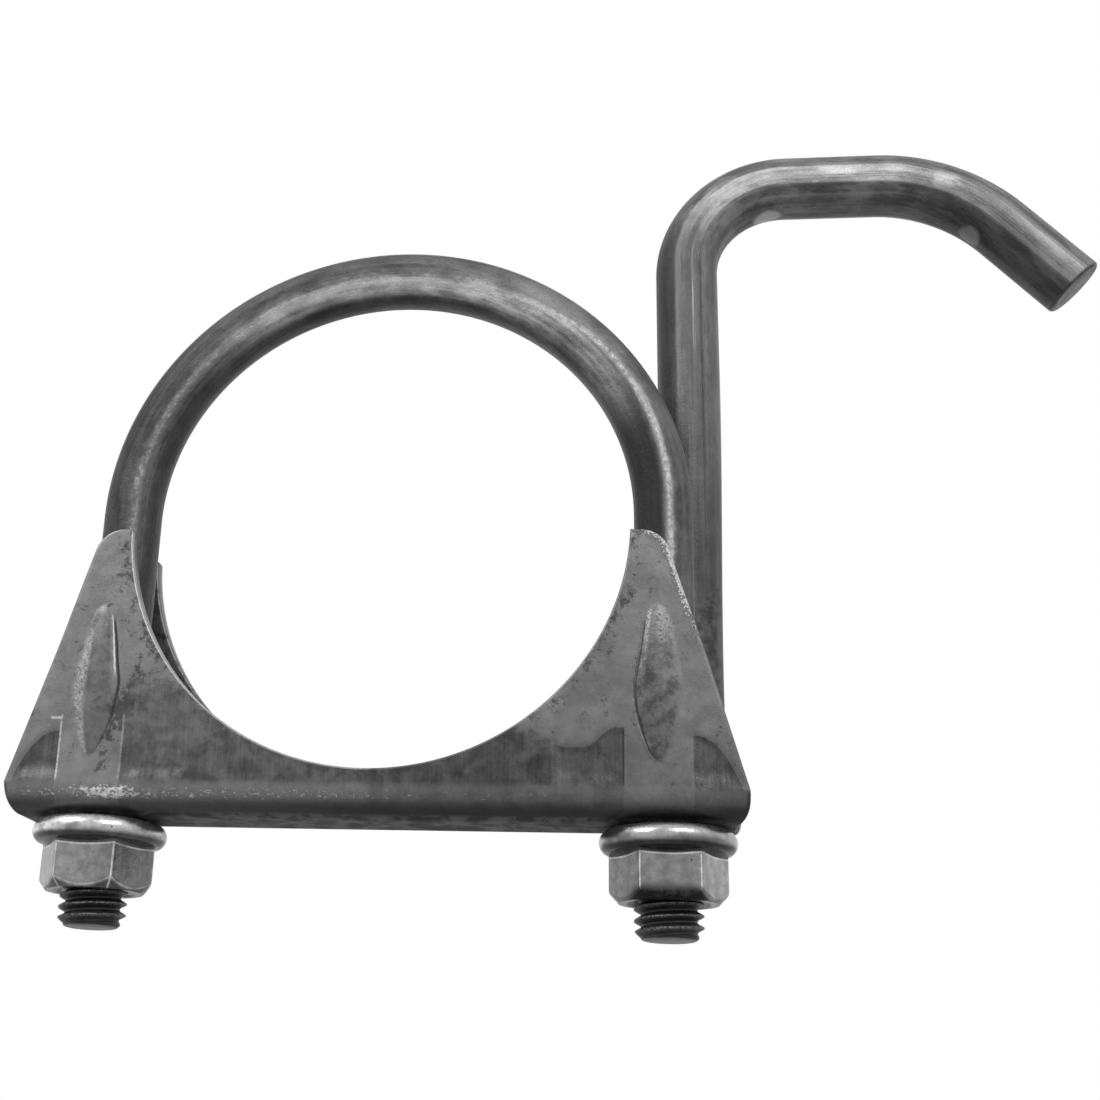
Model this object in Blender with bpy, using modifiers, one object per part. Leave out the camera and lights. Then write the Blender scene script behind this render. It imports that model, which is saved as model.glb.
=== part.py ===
# Exhaust hanger bracket: a folded sheet saddle, a U-bolt with two flange nuts, and a round
# hanger rod welded to the back of the saddle.
# Units are metres and +Z is up. The origin is the axis of the pipe when it lies in the saddle,
# halfway across the saddle's width. The pipe runs along Y, and +X points to the hanger rod.

import math

import bmesh
import bpy
from mathutils import Matrix, Vector

MM = 0.001

# Clearance between pieces that touch on the real part.
CONTACT_GAP = 0.3 * MM

# Saddle: one strip of sheet folded into a channel, with a round pipe seat cut in its walls.
PIPE_SEAT_RADIUS = 36.9 * MM
SHEET = 2.5 * MM
CHANNEL_WIDTH = 15.6 * MM
FOLD_RADIUS = 4.2 * MM  # outside of each fold
SEAT_WEB = 6.65 * MM  # height of the channel under the lowest point of the seat
BASE_OVERHANG = 10.1 * MM  # underside, beyond each bolt hole's axis
FOLD_OVERHANG = 11.5 * MM  # the same at the top of the folds, where the sloping edges start
HORN_DROP = 1.5 * MM  # from the pipe's axis down to the horn tops
HORN_TIP_RADIUS = 4.0 * MM
HORN_TIP_OFFSET = 1.25 * MM  # centre of the tip's round, outside the pipe seat
BOLT_HOLE_CLEARANCE = 0.45 * MM
BOLT_HOLE_STRETCH = 1.4 * MM  # how much longer than wide each hole is, along the base

# Leaf-shaped swage in each of the four horn walls.
LEAF_LENGTH = 22.0 * MM
LEAF_HALF_WIDTH = 3.4 * MM
LEAF_HEIGHT = 1.0 * MM
LEAF_SINK = 0.05 * MM  # middle of the leaf's section below the wall's surface
LEAF_RISE = 14.75 * MM  # from the top of the folds to the leaf's middle
LEAF_INSET = 0.6 * MM  # from the bolt's axis, towards the pipe

# Pressed areas on both sides of the plain strip in front of each bolt leg.
STRIP_HALF_WIDTH = 4.7 * MM  # either side of the leaf's middle
PRESS_DEPTH = 0.35 * MM
PRESS_RISE = 8.45 * MM  # from the top of the folds
PRESS_INNER_REACH = 10.0 * MM
PRESS_INNER_LEVEL = 1.2 * MM  # level part of the top, beside the strip
PRESS_INNER_RUN = 4.4 * MM  # where the top falls away
PRESS_INNER_FALL = 2.8 * MM
PRESS_RIM = 0.9 * MM  # plain rim left along the sloping edge
PRESS_OUTER_POWER = 2.2  # how late the outer area's top turns down
PRESS_OUTER_DROP = 1.0 * MM  # how much lower the outer area starts than the inner one

# U-bolt: round bar with rolled threads on both legs.
BAR_DIAMETER = 8.7 * MM
BOW_SLACK = 0.7 * MM  # how much tighter the bow is than the pipe seat, before it is drawn up
BOW_LIFT = 3.2 * MM  # centre of the bow above the pipe's axis
BOLT_SHIFT = 0.75 * MM  # the bolt lies to the rod's side in its holes
THREAD_DIAMETER = 9.525 * MM
THREAD_LENGTH = 32.0 * MM
THREAD_CHAMFER = 1.0 * MM
THREAD_SHOWN = 4.75 * MM  # leg end beyond the nut
SLEEVE_TUCK = 0.1 * MM  # how far the thread's run-out ends below the bar's surface

# Flange nuts.
NUT_HEIGHT = 10.0 * MM
NUT_FLATS = 14.29 * MM
NUT_CHAMFER_RADIUS = 6.8 * MM
NUT_CHAMFER_HEIGHT = 1.5 * MM  # at the hexagon's corners
FLANGE_DIAMETER = 19.05 * MM
FLANGE_RIM = 3.4 * MM
FLANGE_RIM_END = math.radians(-60)  # where the rim's round gives way to the cone
FLANGE_CONE_SLOPE = 0.5
COUNTERSINK = 0.7 * MM
LEFT_NUT_TURN = math.radians(3.5)
RIGHT_NUT_TURN = math.radians(0.0)

# Hanger rod.
ROD_DIAMETER = 10.0 * MM
ROD_OFFSET = 5.35 * MM  # from the bolt's axis, outwards
ROD_FOOT_RISE = 2.5 * MM  # from the saddle's underside
ROD_RISE = 67.65 * MM  # from the pipe's axis to the centre of the level run
ROD_BEND_RADIUS = 16.5 * MM
ROD_REACH = 43.3 * MM  # from the upright's axis to the corner of the level run and the tip
ROD_TIP_BEND_RADIUS = 27.1 * MM
ROD_TIP_ANGLE = math.radians(48.0)
ROD_TIP_LENGTH = 15.5 * MM  # straight part after the second bend
ROD_EDGE_ROUND = 0.8 * MM

# Weld beads between the rod and the back wall.
BEAD_RADIUS = 1.5 * MM
UPPER_BEAD_LENGTH = 9.0 * MM
UPPER_BEAD_DROP = 6.2 * MM  # from the horn tops
LOWER_BEAD_LENGTH = 4.0 * MM
LOWER_BEAD_RISE = 4.6 * MM  # from the saddle's underside

# Fineness of the round shapes.
ARC_STEPS = 8
SEAT_STEPS = 56
BOW_STEPS = 48
LEAF_STEPS = 14
ROUND_STEPS = 32
NUT_STEPS = 48
BAR_RESOLUTION = 8
SMOOTH_ANGLE = math.radians(35)

# Sizes that follow from the ones above.
HALF_WIDTH = CHANNEL_WIDTH / 2
BASE_Z = -PIPE_SEAT_RADIUS - SEAT_WEB
FOLD_TOP_Z = BASE_Z + FOLD_RADIUS
BOW_RADIUS = PIPE_SEAT_RADIUS - BOW_SLACK + BAR_DIAMETER / 2
BOLT_X = BOW_RADIUS
BASE_END_X = BOLT_X + BASE_OVERHANG
FOLD_END_X = BOLT_X + FOLD_OVERHANG
TIP_X = PIPE_SEAT_RADIUS + HORN_TIP_OFFSET
TIP_Z = -HORN_DROP - HORN_TIP_RADIUS
LEAF_X = BOLT_X - LEAF_INSET
LEAF_Z = FOLD_TOP_Z + LEAF_RISE
PRESS_TOP_Z = FOLD_TOP_Z + PRESS_RISE
BOLT_HOLE_RADIUS = THREAD_DIAMETER / 2 + BOLT_HOLE_CLEARANCE
NUT_SEAT_Z = BASE_Z - CONTACT_GAP
NUT_BORE_RADIUS = THREAD_DIAMETER / 2 + CONTACT_GAP
NUT_CORNER_RADIUS = NUT_FLATS / math.sqrt(3)
LEG_END_Z = NUT_SEAT_Z - NUT_HEIGHT - THREAD_SHOWN
ROD_X = BOLT_X + ROD_OFFSET
ROD_CORNER_X = ROD_X + ROD_REACH


def clear_scene():
    for obj in list(bpy.data.objects):
        bpy.data.objects.remove(obj, do_unlink=True)


def make_collection(name):
    collection = bpy.data.collections.new(name)
    bpy.context.scene.collection.children.link(collection)
    return collection


def make_steel(name, colour, roughness, metallic):
    material = bpy.data.materials.new(name)
    material.use_nodes = True
    shader = material.node_tree.nodes["Principled BSDF"]
    shader.inputs["Base Color"].default_value = (*colour, 1.0)
    shader.inputs["Roughness"].default_value = roughness
    shader.inputs["Metallic"].default_value = metallic
    return material


def add_object(name, data, collection):
    obj = bpy.data.objects.new(name, data)
    collection.objects.link(obj)
    return obj


def arc_points(centre, radius, start, end, steps):
    # Points of an arc, both ends included, with angles in radians from the first axis.
    points = []
    for i in range(steps + 1):
        angle = start + (end - start) * i / steps
        points.append((centre[0] + radius * math.cos(angle), centre[1] + radius * math.sin(angle)))
    return points


def flat_curve(name, outline, thickness, collection):
    # A closed outline in the curve's own XY plane, thickened evenly to both sides.
    curve = bpy.data.curves.new(name, "CURVE")
    curve.dimensions = "2D"
    curve.fill_mode = "BOTH"
    curve.extrude = thickness / 2
    spline = curve.splines.new("POLY")
    spline.points.add(len(outline) - 1)
    for point, (u, v) in zip(spline.points, outline):
        point.co = (u, v, 0.0, 1.0)
    spline.use_cyclic_u = True
    return add_object(name, curve, collection)


def bent_bar(name, path, diameter, collection):
    # A round bar along points in the XZ plane, with closed ends.
    curve = bpy.data.curves.new(name, "CURVE")
    curve.dimensions = "3D"
    curve.bevel_depth = diameter / 2
    curve.bevel_resolution = BAR_RESOLUTION
    curve.use_fill_caps = True
    spline = curve.splines.new("POLY")
    spline.points.add(len(path) - 1)
    for point, (x, z) in zip(spline.points, path):
        point.co = (x, 0.0, z, 1.0)
    return add_object(name, curve, collection)


def turned(name, profile, collection, steps=ROUND_STEPS):
    # A profile of (radius, z) points, top to bottom, turned about the Z axis.
    mesh = bpy.data.meshes.new(name)
    bm = bmesh.new()
    vertices = [bm.verts.new((radius, 0.0, z)) for radius, z in profile]
    for upper, lower in zip(vertices, vertices[1:]):
        bm.edges.new((upper, lower))
    bm.to_mesh(mesh)
    bm.free()
    obj = add_object(name, mesh, collection)
    screw = obj.modifiers.new("Turn", "SCREW")
    screw.angle = math.tau
    screw.steps = steps
    screw.render_steps = steps
    screw.use_merge_vertices = True
    screw.merge_threshold = 0.00001
    return obj


def as_mesh(obj):
    # Replaces an object by its evaluated mesh, with its place applied and its caps welded on.
    bpy.context.view_layer.update()
    graph = bpy.context.evaluated_depsgraph_get()
    mesh = bpy.data.meshes.new_from_object(obj.evaluated_get(graph))
    mesh.transform(obj.matrix_world)
    bm = bmesh.new()
    bm.from_mesh(mesh)
    bmesh.ops.remove_doubles(bm, verts=bm.verts, dist=0.000001)
    bmesh.ops.recalc_face_normals(bm, faces=bm.faces)
    bm.to_mesh(mesh)
    bm.free()
    name = obj.name
    collection = obj.users_collection[0]
    bpy.data.objects.remove(obj, do_unlink=True)
    mesh.name = name
    return add_object(name, mesh, collection)


def combine(obj, other, operation):
    modifier = obj.modifiers.new(f"{operation} {other.name}", "BOOLEAN")
    modifier.operation = operation
    modifier.solver = "EXACT"
    modifier.object = other
    other.hide_render = True
    other.display_type = "WIRE"


def finish(obj, material):
    obj.data.materials.clear()
    obj.data.materials.append(material)
    obj.data.shade_smooth()
    obj.data.set_sharp_from_angle(angle=SMOOTH_ANGLE)


def move_origin(obj, origin):
    # Moves the origin and leaves the shape where it is.
    obj.data.transform(Matrix.Translation(-Vector(origin)))
    obj.location = origin


def channel_section():
    # Closed section of the folded strip, in (y, z), with walls that reach the pipe's axis.
    fold_centre = (HALF_WIDTH - FOLD_RADIUS, FOLD_TOP_Z)
    outside = arc_points(fold_centre, FOLD_RADIUS, -math.pi / 2, 0, ARC_STEPS)
    inside = arc_points(fold_centre, FOLD_RADIUS - SHEET, 0, -math.pi / 2, ARC_STEPS)
    right = outside + [(HALF_WIDTH, 0.0), (HALF_WIDTH - SHEET, 0.0)] + inside
    left = [(-y, z) for y, z in reversed(right)]
    return right + left


def edge_lean():
    # Angle from upright of the sloping edge, which runs from the fold to touch the tip's round.
    across = TIP_X - FOLD_END_X
    up = TIP_Z - FOLD_TOP_Z
    return math.atan2(-across, up) - math.asin(HORN_TIP_RADIUS / math.hypot(across, up))


def sloping_edge_x(z):
    return FOLD_END_X - math.tan(edge_lean()) * (z - FOLD_TOP_Z)


def seat_crossing():
    # Angle on the tip's round where it meets the pipe seat.
    distance = math.hypot(TIP_X, TIP_Z)
    to_pipe_axis = math.atan2(-TIP_Z, -TIP_X)
    cosine = (HORN_TIP_RADIUS**2 + distance**2 - PIPE_SEAT_RADIUS**2) / (2 * HORN_TIP_RADIUS * distance)
    return to_pipe_axis - math.acos(cosine)


def saddle_outline():
    # The saddle seen along the pipe, in (x, z): base end, sloping edge, tip and pipe seat.
    tip = arc_points((TIP_X, TIP_Z), HORN_TIP_RADIUS, edge_lean(), seat_crossing(), ARC_STEPS)
    seat_start = math.atan2(tip[-1][1], tip[-1][0])
    seat = arc_points((0, 0), PIPE_SEAT_RADIUS, seat_start, -math.pi - seat_start, SEAT_STEPS)
    right = [(BASE_END_X, BASE_Z), (FOLD_END_X, FOLD_TOP_Z)] + tip
    left = [(-x, z) for x, z in reversed(right)]
    return right + seat[1:-1] + left


def make_leaf(name, side, leaf_y, collection):
    # A spindle with pointed ends, flattened to the height of the swage.
    profile = []
    for i in range(LEAF_STEPS + 1):
        along = 1 - 2 * i / LEAF_STEPS
        profile.append((LEAF_HALF_WIDTH * (1 - along**2), along * LEAF_LENGTH / 2))
    leaf = turned(name, profile, collection)
    leaf.location = (side * LEAF_X, leaf_y, LEAF_Z)
    leaf.scale = (1.0, LEAF_HEIGHT / LEAF_HALF_WIDTH, 1.0)
    return as_mesh(leaf)


def inner_press_outline():
    # From the plain strip towards the pipe, with a level top that falls away in a soft step.
    near = LEAF_X - STRIP_HALF_WIDTH
    far = near - PRESS_INNER_REACH
    top = [(near, PRESS_TOP_Z)]
    for i in range(ARC_STEPS + 1):
        t = i / ARC_STEPS
        x = near - PRESS_INNER_LEVEL - PRESS_INNER_RUN * t
        top.append((x, PRESS_TOP_Z - PRESS_INNER_FALL * (1 - math.cos(math.pi * t)) / 2))
    return top + [(far, PRESS_TOP_Z - PRESS_INNER_FALL), (far, FOLD_TOP_Z), (near, FOLD_TOP_Z)]


def outer_press_outline():
    # From the plain strip outwards, with a top that runs down beside the sloping edge.
    near = LEAF_X + STRIP_HALF_WIDTH
    far = sloping_edge_x(FOLD_TOP_Z) - PRESS_RIM
    start = PRESS_TOP_Z - PRESS_OUTER_DROP
    top = []
    for i in range(ARC_STEPS + 1):
        t = i / ARC_STEPS
        top.append((near + (far - near) * t, start + (FOLD_TOP_Z - start) * t**PRESS_OUTER_POWER))
    return top + [(near, FOLD_TOP_Z)]


def make_press(name, outline, side, wall_y, collection):
    press = flat_curve(name, [(side * x, z) for x, z in outline], 2 * PRESS_DEPTH, collection)
    press.rotation_euler = (math.pi / 2, 0.0, 0.0)
    press.location = (0.0, wall_y, 0.0)
    return as_mesh(press)


def make_bolt_hole(name, side, collection):
    # Two half rounds joined by straight sides, longer along the base than across it.
    reach = BOLT_HOLE_STRETCH / 2
    turn = math.pi / 2
    outer = arc_points((reach, 0), BOLT_HOLE_RADIUS, -turn, turn, 2 * ARC_STEPS)
    inner = arc_points((-reach, 0), BOLT_HOLE_RADIUS, turn, 3 * turn, 2 * ARC_STEPS)
    hole = flat_curve(name, outer + inner, 4 * SHEET, collection)
    hole.location = (side * BOLT_X, 0.0, BASE_Z)
    return as_mesh(hole)


def make_saddle(parts, cutters, material):
    saddle = flat_curve("saddle", channel_section(), 2 * (FOLD_END_X + SHEET), parts)
    saddle.rotation_euler = (math.pi / 2, 0.0, math.pi / 2)
    saddle = as_mesh(saddle)
    outline = flat_curve("saddle_outline", saddle_outline(), 2 * CHANNEL_WIDTH, cutters)
    outline.rotation_euler = (math.pi / 2, 0.0, 0.0)
    combine(saddle, as_mesh(outline), "INTERSECT")
    for side, horn in ((-1, "left"), (1, "right")):
        for facing, wall in ((-1, "front"), (1, "back")):
            where = f"{horn}_{wall}"
            face_y = facing * HALF_WIDTH
            leaf_y = facing * (HALF_WIDTH - LEAF_SINK)
            leaf = make_leaf(f"leaf_{where}", side, leaf_y, cutters)
            combine(saddle, leaf, "UNION")
            hollow = make_leaf(f"leaf_hollow_{where}", side, leaf_y - facing * SHEET, cutters)
            combine(saddle, hollow, "DIFFERENCE")
            inner = make_press(f"press_inner_{where}", inner_press_outline(), side, face_y, cutters)
            combine(saddle, inner, "DIFFERENCE")
            outer = make_press(f"press_outer_{where}", outer_press_outline(), side, face_y, cutters)
            combine(saddle, outer, "DIFFERENCE")
        combine(saddle, make_bolt_hole(f"bolt_hole_{horn}", side, cutters), "DIFFERENCE")
    finish(saddle, material)


def thread_profile():
    # Outside of the threaded length, from its run-out on the bar to the chamfered end.
    bar = BAR_DIAMETER / 2 - SLEEVE_TUCK
    thread = THREAD_DIAMETER / 2
    top = LEG_END_Z + THREAD_LENGTH
    return [
        (0, top),
        (bar, top),
        (thread, top - (thread - bar)),
        (thread, LEG_END_Z + THREAD_CHAMFER),
        (thread - THREAD_CHAMFER, LEG_END_Z),
        (0, LEG_END_Z),
    ]


def make_u_bolt(parts, cutters, material):
    # The bar ends inside the threaded lengths, which carry on to the ends of the legs.
    bar_end = LEG_END_Z + THREAD_LENGTH / 2
    bow = arc_points((BOLT_SHIFT, BOW_LIFT), BOW_RADIUS, math.pi, 0, BOW_STEPS)
    path = [(BOLT_SHIFT - BOLT_X, bar_end)] + bow + [(BOLT_SHIFT + BOLT_X, bar_end)]
    bolt = as_mesh(bent_bar("u_bolt", path, BAR_DIAMETER, parts))
    for side, leg in ((-1, "left"), (1, "right")):
        thread = turned(f"thread_{leg}", thread_profile(), cutters)
        thread.location = (BOLT_SHIFT + side * BOLT_X, 0.0, 0.0)
        combine(bolt, as_mesh(thread), "UNION")
    move_origin(bolt, (BOLT_SHIFT, 0.0, BOW_LIFT))
    finish(bolt, material)


def flange_profile():
    # From the nut's axis along the seat, round the rim, and up the cone into the hexagon.
    rim = FLANGE_RIM / 2
    rim_centre = (FLANGE_DIAMETER / 2 - rim, -rim)
    around = arc_points(rim_centre, rim, math.pi / 2, FLANGE_RIM_END, ARC_STEPS + 2)
    cone_radius = NUT_BORE_RADIUS / 2
    cone_z = around[-1][1] - FLANGE_CONE_SLOPE * (around[-1][0] - cone_radius)
    return [(0, 0)] + around + [(cone_radius, cone_z), (0, cone_z)]


def chamfer_profile():
    # A round envelope that takes off the hexagon's lower corners.
    slope = NUT_CHAMFER_HEIGHT / (NUT_CORNER_RADIUS - NUT_CHAMFER_RADIUS)
    wide = NUT_CORNER_RADIUS + NUT_CHAMFER_HEIGHT
    return [
        (0, CONTACT_GAP),
        (wide, CONTACT_GAP),
        (wide, slope * (wide - NUT_CHAMFER_RADIUS) - NUT_HEIGHT),
        (NUT_CHAMFER_RADIUS, -NUT_HEIGHT),
        (0, -NUT_HEIGHT),
    ]


def bore_profile():
    # A through bore that opens out at the outer face.
    return [
        (0, COUNTERSINK),
        (NUT_BORE_RADIUS, COUNTERSINK),
        (NUT_BORE_RADIUS, COUNTERSINK - NUT_HEIGHT),
        (NUT_BORE_RADIUS + 2 * COUNTERSINK, -COUNTERSINK - NUT_HEIGHT),
        (0, -COUNTERSINK - NUT_HEIGHT),
    ]


def make_hexagon(name, collection):
    # It starts inside the flange, halfway up the rim.
    height = NUT_HEIGHT - FLANGE_RIM / 2
    mesh = bpy.data.meshes.new(name)
    bm = bmesh.new()
    bmesh.ops.create_cone(
        bm,
        cap_ends=True,
        segments=6,
        radius1=NUT_CORNER_RADIUS,
        radius2=NUT_CORNER_RADIUS,
        depth=height,
        matrix=Matrix.Translation((0, 0, height / 2 - NUT_HEIGHT)),
    )
    bm.to_mesh(mesh)
    bm.free()
    return add_object(name, mesh, collection)


def make_nut(name, side, turn, parts, cutters, material):
    nut = make_hexagon(name, parts)
    chamfer = turned(f"{name}_chamfer", chamfer_profile(), cutters, NUT_STEPS)
    combine(nut, as_mesh(chamfer), "INTERSECT")
    flange = turned(f"{name}_flange", flange_profile(), cutters, NUT_STEPS)
    combine(nut, as_mesh(flange), "UNION")
    bore = turned(f"{name}_bore", bore_profile(), cutters)
    combine(nut, as_mesh(bore), "DIFFERENCE")
    nut = as_mesh(nut)
    nut.rotation_euler = (0.0, 0.0, turn)
    nut.location = (BOLT_SHIFT + side * BOLT_X, 0.0, NUT_SEAT_Z)
    finish(nut, material)


def rod_axis_y():
    # As near the back wall as the rod can lie, clear of the wall and of the leaf that stands out.
    reach = ROD_DIAMETER / 2 + CONTACT_GAP
    nearest = HALF_WIDTH + reach
    for i in range(LEAF_STEPS + 1):
        across = 2 * i / LEAF_STEPS - 1
        leaf_y = HALF_WIDTH + LEAF_HEIGHT * math.sqrt(1 - across**2)
        aside = LEAF_X + LEAF_HALF_WIDTH * across - ROD_X
        if abs(aside) < reach:
            nearest = max(nearest, leaf_y + math.sqrt(reach**2 - aside**2))
    return nearest


def rod_path():
    # Centre line in (x, z): up behind the saddle, over to the level run, and down to the tip.
    foot = (ROD_X, BASE_Z + ROD_FOOT_RISE)
    first_centre = (ROD_X + ROD_BEND_RADIUS, ROD_RISE - ROD_BEND_RADIUS)
    first = arc_points(first_centre, ROD_BEND_RADIUS, math.pi, math.pi / 2, 2 * ARC_STEPS)
    second_x = ROD_CORNER_X - ROD_TIP_BEND_RADIUS * math.tan(ROD_TIP_ANGLE / 2)
    second_centre = (second_x, ROD_RISE - ROD_TIP_BEND_RADIUS)
    last_angle = math.pi / 2 - ROD_TIP_ANGLE
    second = arc_points(second_centre, ROD_TIP_BEND_RADIUS, math.pi / 2, last_angle, ARC_STEPS)
    end_x = second[-1][0] + ROD_TIP_LENGTH * math.cos(ROD_TIP_ANGLE)
    end_z = second[-1][1] - ROD_TIP_LENGTH * math.sin(ROD_TIP_ANGLE)
    return [foot] + first + second + [(end_x, end_z)]


def make_hanger_rod(parts, material):
    rod = as_mesh(bent_bar("hanger_rod", rod_path(), ROD_DIAMETER, parts))
    rod.location = (0.0, rod_axis_y(), 0.0)
    bevel = rod.modifiers.new("Rounded ends", "BEVEL")
    bevel.width = ROD_EDGE_ROUND
    bevel.segments = 2
    bevel.limit_method = "ANGLE"
    bevel.angle_limit = math.radians(60)
    finish(rod, material)


def make_bead(name, centre_z, length, parts, material):
    # A bead with round ends in the groove between the rod and the wall, on the rod's inner side.
    rod_y = rod_axis_y()
    bead_y = HALF_WIDTH + CONTACT_GAP + BEAD_RADIUS
    apart = ROD_DIAMETER / 2 + CONTACT_GAP + BEAD_RADIUS
    bead_x = ROD_X - math.sqrt(apart**2 - (rod_y - bead_y) ** 2)
    mesh = bpy.data.meshes.new(name)
    bm = bmesh.new()
    bmesh.ops.create_uvsphere(bm, u_segments=16, v_segments=10, radius=BEAD_RADIUS)
    middle = [vertex for vertex in bm.verts if abs(vertex.co.z) < BEAD_RADIUS / ARC_STEPS]
    for vertex in set(bm.verts) - set(middle):
        vertex.co.z += math.copysign(length / 2 - BEAD_RADIUS, vertex.co.z)
    bm.to_mesh(mesh)
    bm.free()
    bead = add_object(name, mesh, parts)
    bead.location = (bead_x, bead_y, centre_z)
    finish(bead, material)


def main():
    clear_scene()
    parts = make_collection("exhaust_hanger_bracket")
    cutters = make_collection("cutters")
    saddle_steel = make_steel("saddle_steel", (0.22, 0.22, 0.22), 0.5, 0.85)
    bolt_steel = make_steel("bolt_steel", (0.14, 0.14, 0.14), 0.45, 0.85)
    rod_steel = make_steel("rod_steel", (0.15, 0.15, 0.15), 0.45, 0.85)
    nut_zinc = make_steel("nut_zinc", (0.42, 0.42, 0.42), 0.3, 0.95)
    weld_steel = make_steel("weld_steel", (0.1, 0.1, 0.1), 0.6, 0.8)
    make_saddle(parts, cutters, saddle_steel)
    make_u_bolt(parts, cutters, bolt_steel)
    make_nut("left_flange_nut", -1, LEFT_NUT_TURN, parts, cutters, nut_zinc)
    make_nut("right_flange_nut", 1, RIGHT_NUT_TURN, parts, cutters, nut_zinc)
    make_hanger_rod(parts, rod_steel)
    upper_z = -HORN_DROP - UPPER_BEAD_DROP
    make_bead("upper_weld", upper_z, UPPER_BEAD_LENGTH, parts, weld_steel)
    lower_z = BASE_Z + LOWER_BEAD_RISE
    make_bead("lower_weld", lower_z, LOWER_BEAD_LENGTH, parts, weld_steel)


main()
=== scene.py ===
from math import acos, asin, atan2, ceil, copysign, cos, hypot, pi, radians, sin, sqrt

import bmesh
import bpy
from mathutils import Matrix, Vector


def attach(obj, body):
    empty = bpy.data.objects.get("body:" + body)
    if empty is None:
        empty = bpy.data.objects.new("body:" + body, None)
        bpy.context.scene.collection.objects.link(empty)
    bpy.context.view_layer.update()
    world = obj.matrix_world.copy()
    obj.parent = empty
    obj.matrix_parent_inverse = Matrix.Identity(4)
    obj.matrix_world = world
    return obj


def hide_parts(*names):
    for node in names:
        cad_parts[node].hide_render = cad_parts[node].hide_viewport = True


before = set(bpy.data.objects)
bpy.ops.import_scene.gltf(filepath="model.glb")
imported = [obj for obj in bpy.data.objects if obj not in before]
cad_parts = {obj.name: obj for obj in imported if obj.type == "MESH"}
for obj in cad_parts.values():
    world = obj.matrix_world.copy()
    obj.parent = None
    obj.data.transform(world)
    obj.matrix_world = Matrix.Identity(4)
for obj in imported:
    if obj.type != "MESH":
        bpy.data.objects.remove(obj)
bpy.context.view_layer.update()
mm = 0.001
sharpAngle = radians(38)  # edges that turn further than this are shaded sharp
print("frame loaded")


# small helpers

def steps(start, end, count):
    return [start + (end - start) * k / count for k in range(count + 1)]


def smooth(value, low, high):
    share = min(1, max(0, (value - low) / (high - low)))
    return share * share * (3 - 2 * share)


def addChain(bm, points):
    verts = [bm.verts.new(p) for p in points]
    return verts, [bm.edges.new(pair) for pair in zip(verts, verts[1:])]


def merge(bm, distance=1e-4):
    bmesh.ops.remove_doubles(bm, verts=bm.verts, dist=distance)
    bmesh.ops.dissolve_degenerate(bm, dist=distance / 10, edges=bm.edges)


def vertsOf(geometry):
    return [g for g in geometry if isinstance(g, bmesh.types.BMVert)]


def ringOf(geometry):
    # the vertices, and the edges that lie wholly between them
    verts = vertsOf(geometry)
    kept = set(verts)
    edges = [g for g in geometry if isinstance(g, bmesh.types.BMEdge)]
    return verts, [e for e in edges if all(v in kept for v in e.verts)]


def drawOut(bm, edges, way):
    # carries a ring of edges along a straight run of bar
    verts, edges = ringOf(bmesh.ops.extrude_edge_only(bm, edges=edges)["geom"])
    bmesh.ops.translate(bm, vec=way, verts=verts)
    return verts, edges


def spin(bm, geometry, centre, axis, angle, count, rise=(0, 0, 0), closed=False):
    made = bmesh.ops.spin(
        bm, geom=geometry, cent=centre, axis=axis, dvec=rise, angle=angle, steps=count,
        use_merge=closed, use_duplicate=False,
    )
    return made["geom_last"]


def swing(bm, ring, centre, angle, count):
    # carries a ring round a bend whose axis lies along the pipe
    return ringOf(spin(bm, ring, centre, (0, 1, 0), angle, count))


def asPiece(name, bm, material, body, slot, *nodes):
    # pieces are built in millimetres in the row frame
    bmesh.ops.recalc_face_normals(bm, faces=bm.faces)
    bmesh.ops.scale(bm, vec=(mm, mm, mm), verts=bm.verts)
    mesh = bpy.data.meshes.new(name)
    bm.to_mesh(mesh)
    bm.free()
    mesh.shade_smooth()
    mesh.set_sharp_from_angle(angle=sharpAngle)
    mesh.materials.append(material)
    piece = bpy.data.objects.new(name, mesh)
    bpy.context.scene.collection.objects.link(piece)
    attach(piece, body)
    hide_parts(*nodes)
    print(name, "faces", len(mesh.polygons))


# shader maths

class Wire:
    def __init__(self, tree, socket):
        self.tree = tree
        self.socket = socket

    def math(self, operation, first, second=None):
        node = self.tree.nodes.new("ShaderNodeMath")
        node.operation = operation
        join(self.tree, first, node.inputs[0])
        if second is not None:
            join(self.tree, second, node.inputs[1])
        return Wire(self.tree, node.outputs[0])

    def __neg__(self):
        return 0 - self

    def __abs__(self):
        return self.math("ABSOLUTE", self)

    def root(self):
        return self.math("SQRT", self)

    def cosine(self):
        return self.math("COSINE", self)

    def rise(self, low, high):
        # 0 below low and 1 above high, with a soft step between them
        node = self.tree.nodes.new("ShaderNodeMapRange")
        node.interpolation_type = "SMOOTHSTEP"
        join(self.tree, self, node.inputs["Value"])
        node.inputs["From Min"].default_value = low
        node.inputs["From Max"].default_value = high
        return Wire(self.tree, node.outputs[0])

    def fall(self, low, high):
        # 1 below low and 0 above high
        return 1 - self.rise(low, high)

    def within(self, low, high, soft):
        return self.rise(low - soft, low + soft) * self.fall(high - soft, high + soft)

    def toward(self, other, share):
        return self + (other - self) * share


# what each operator or method between two values does; over is 1 above the limit and 0 below it,
# and angle is that of the point whose height comes first and whose width comes second
operations = {
    "__add__": "ADD", "__sub__": "SUBTRACT", "__mul__": "MULTIPLY", "__truediv__": "DIVIDE",
    "__mod__": "MODULO", "__pow__": "POWER", "least": "MINIMUM", "most": "MAXIMUM",
    "over": "GREATER_THAN", "angle": "ARCTAN2",
}


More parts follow.
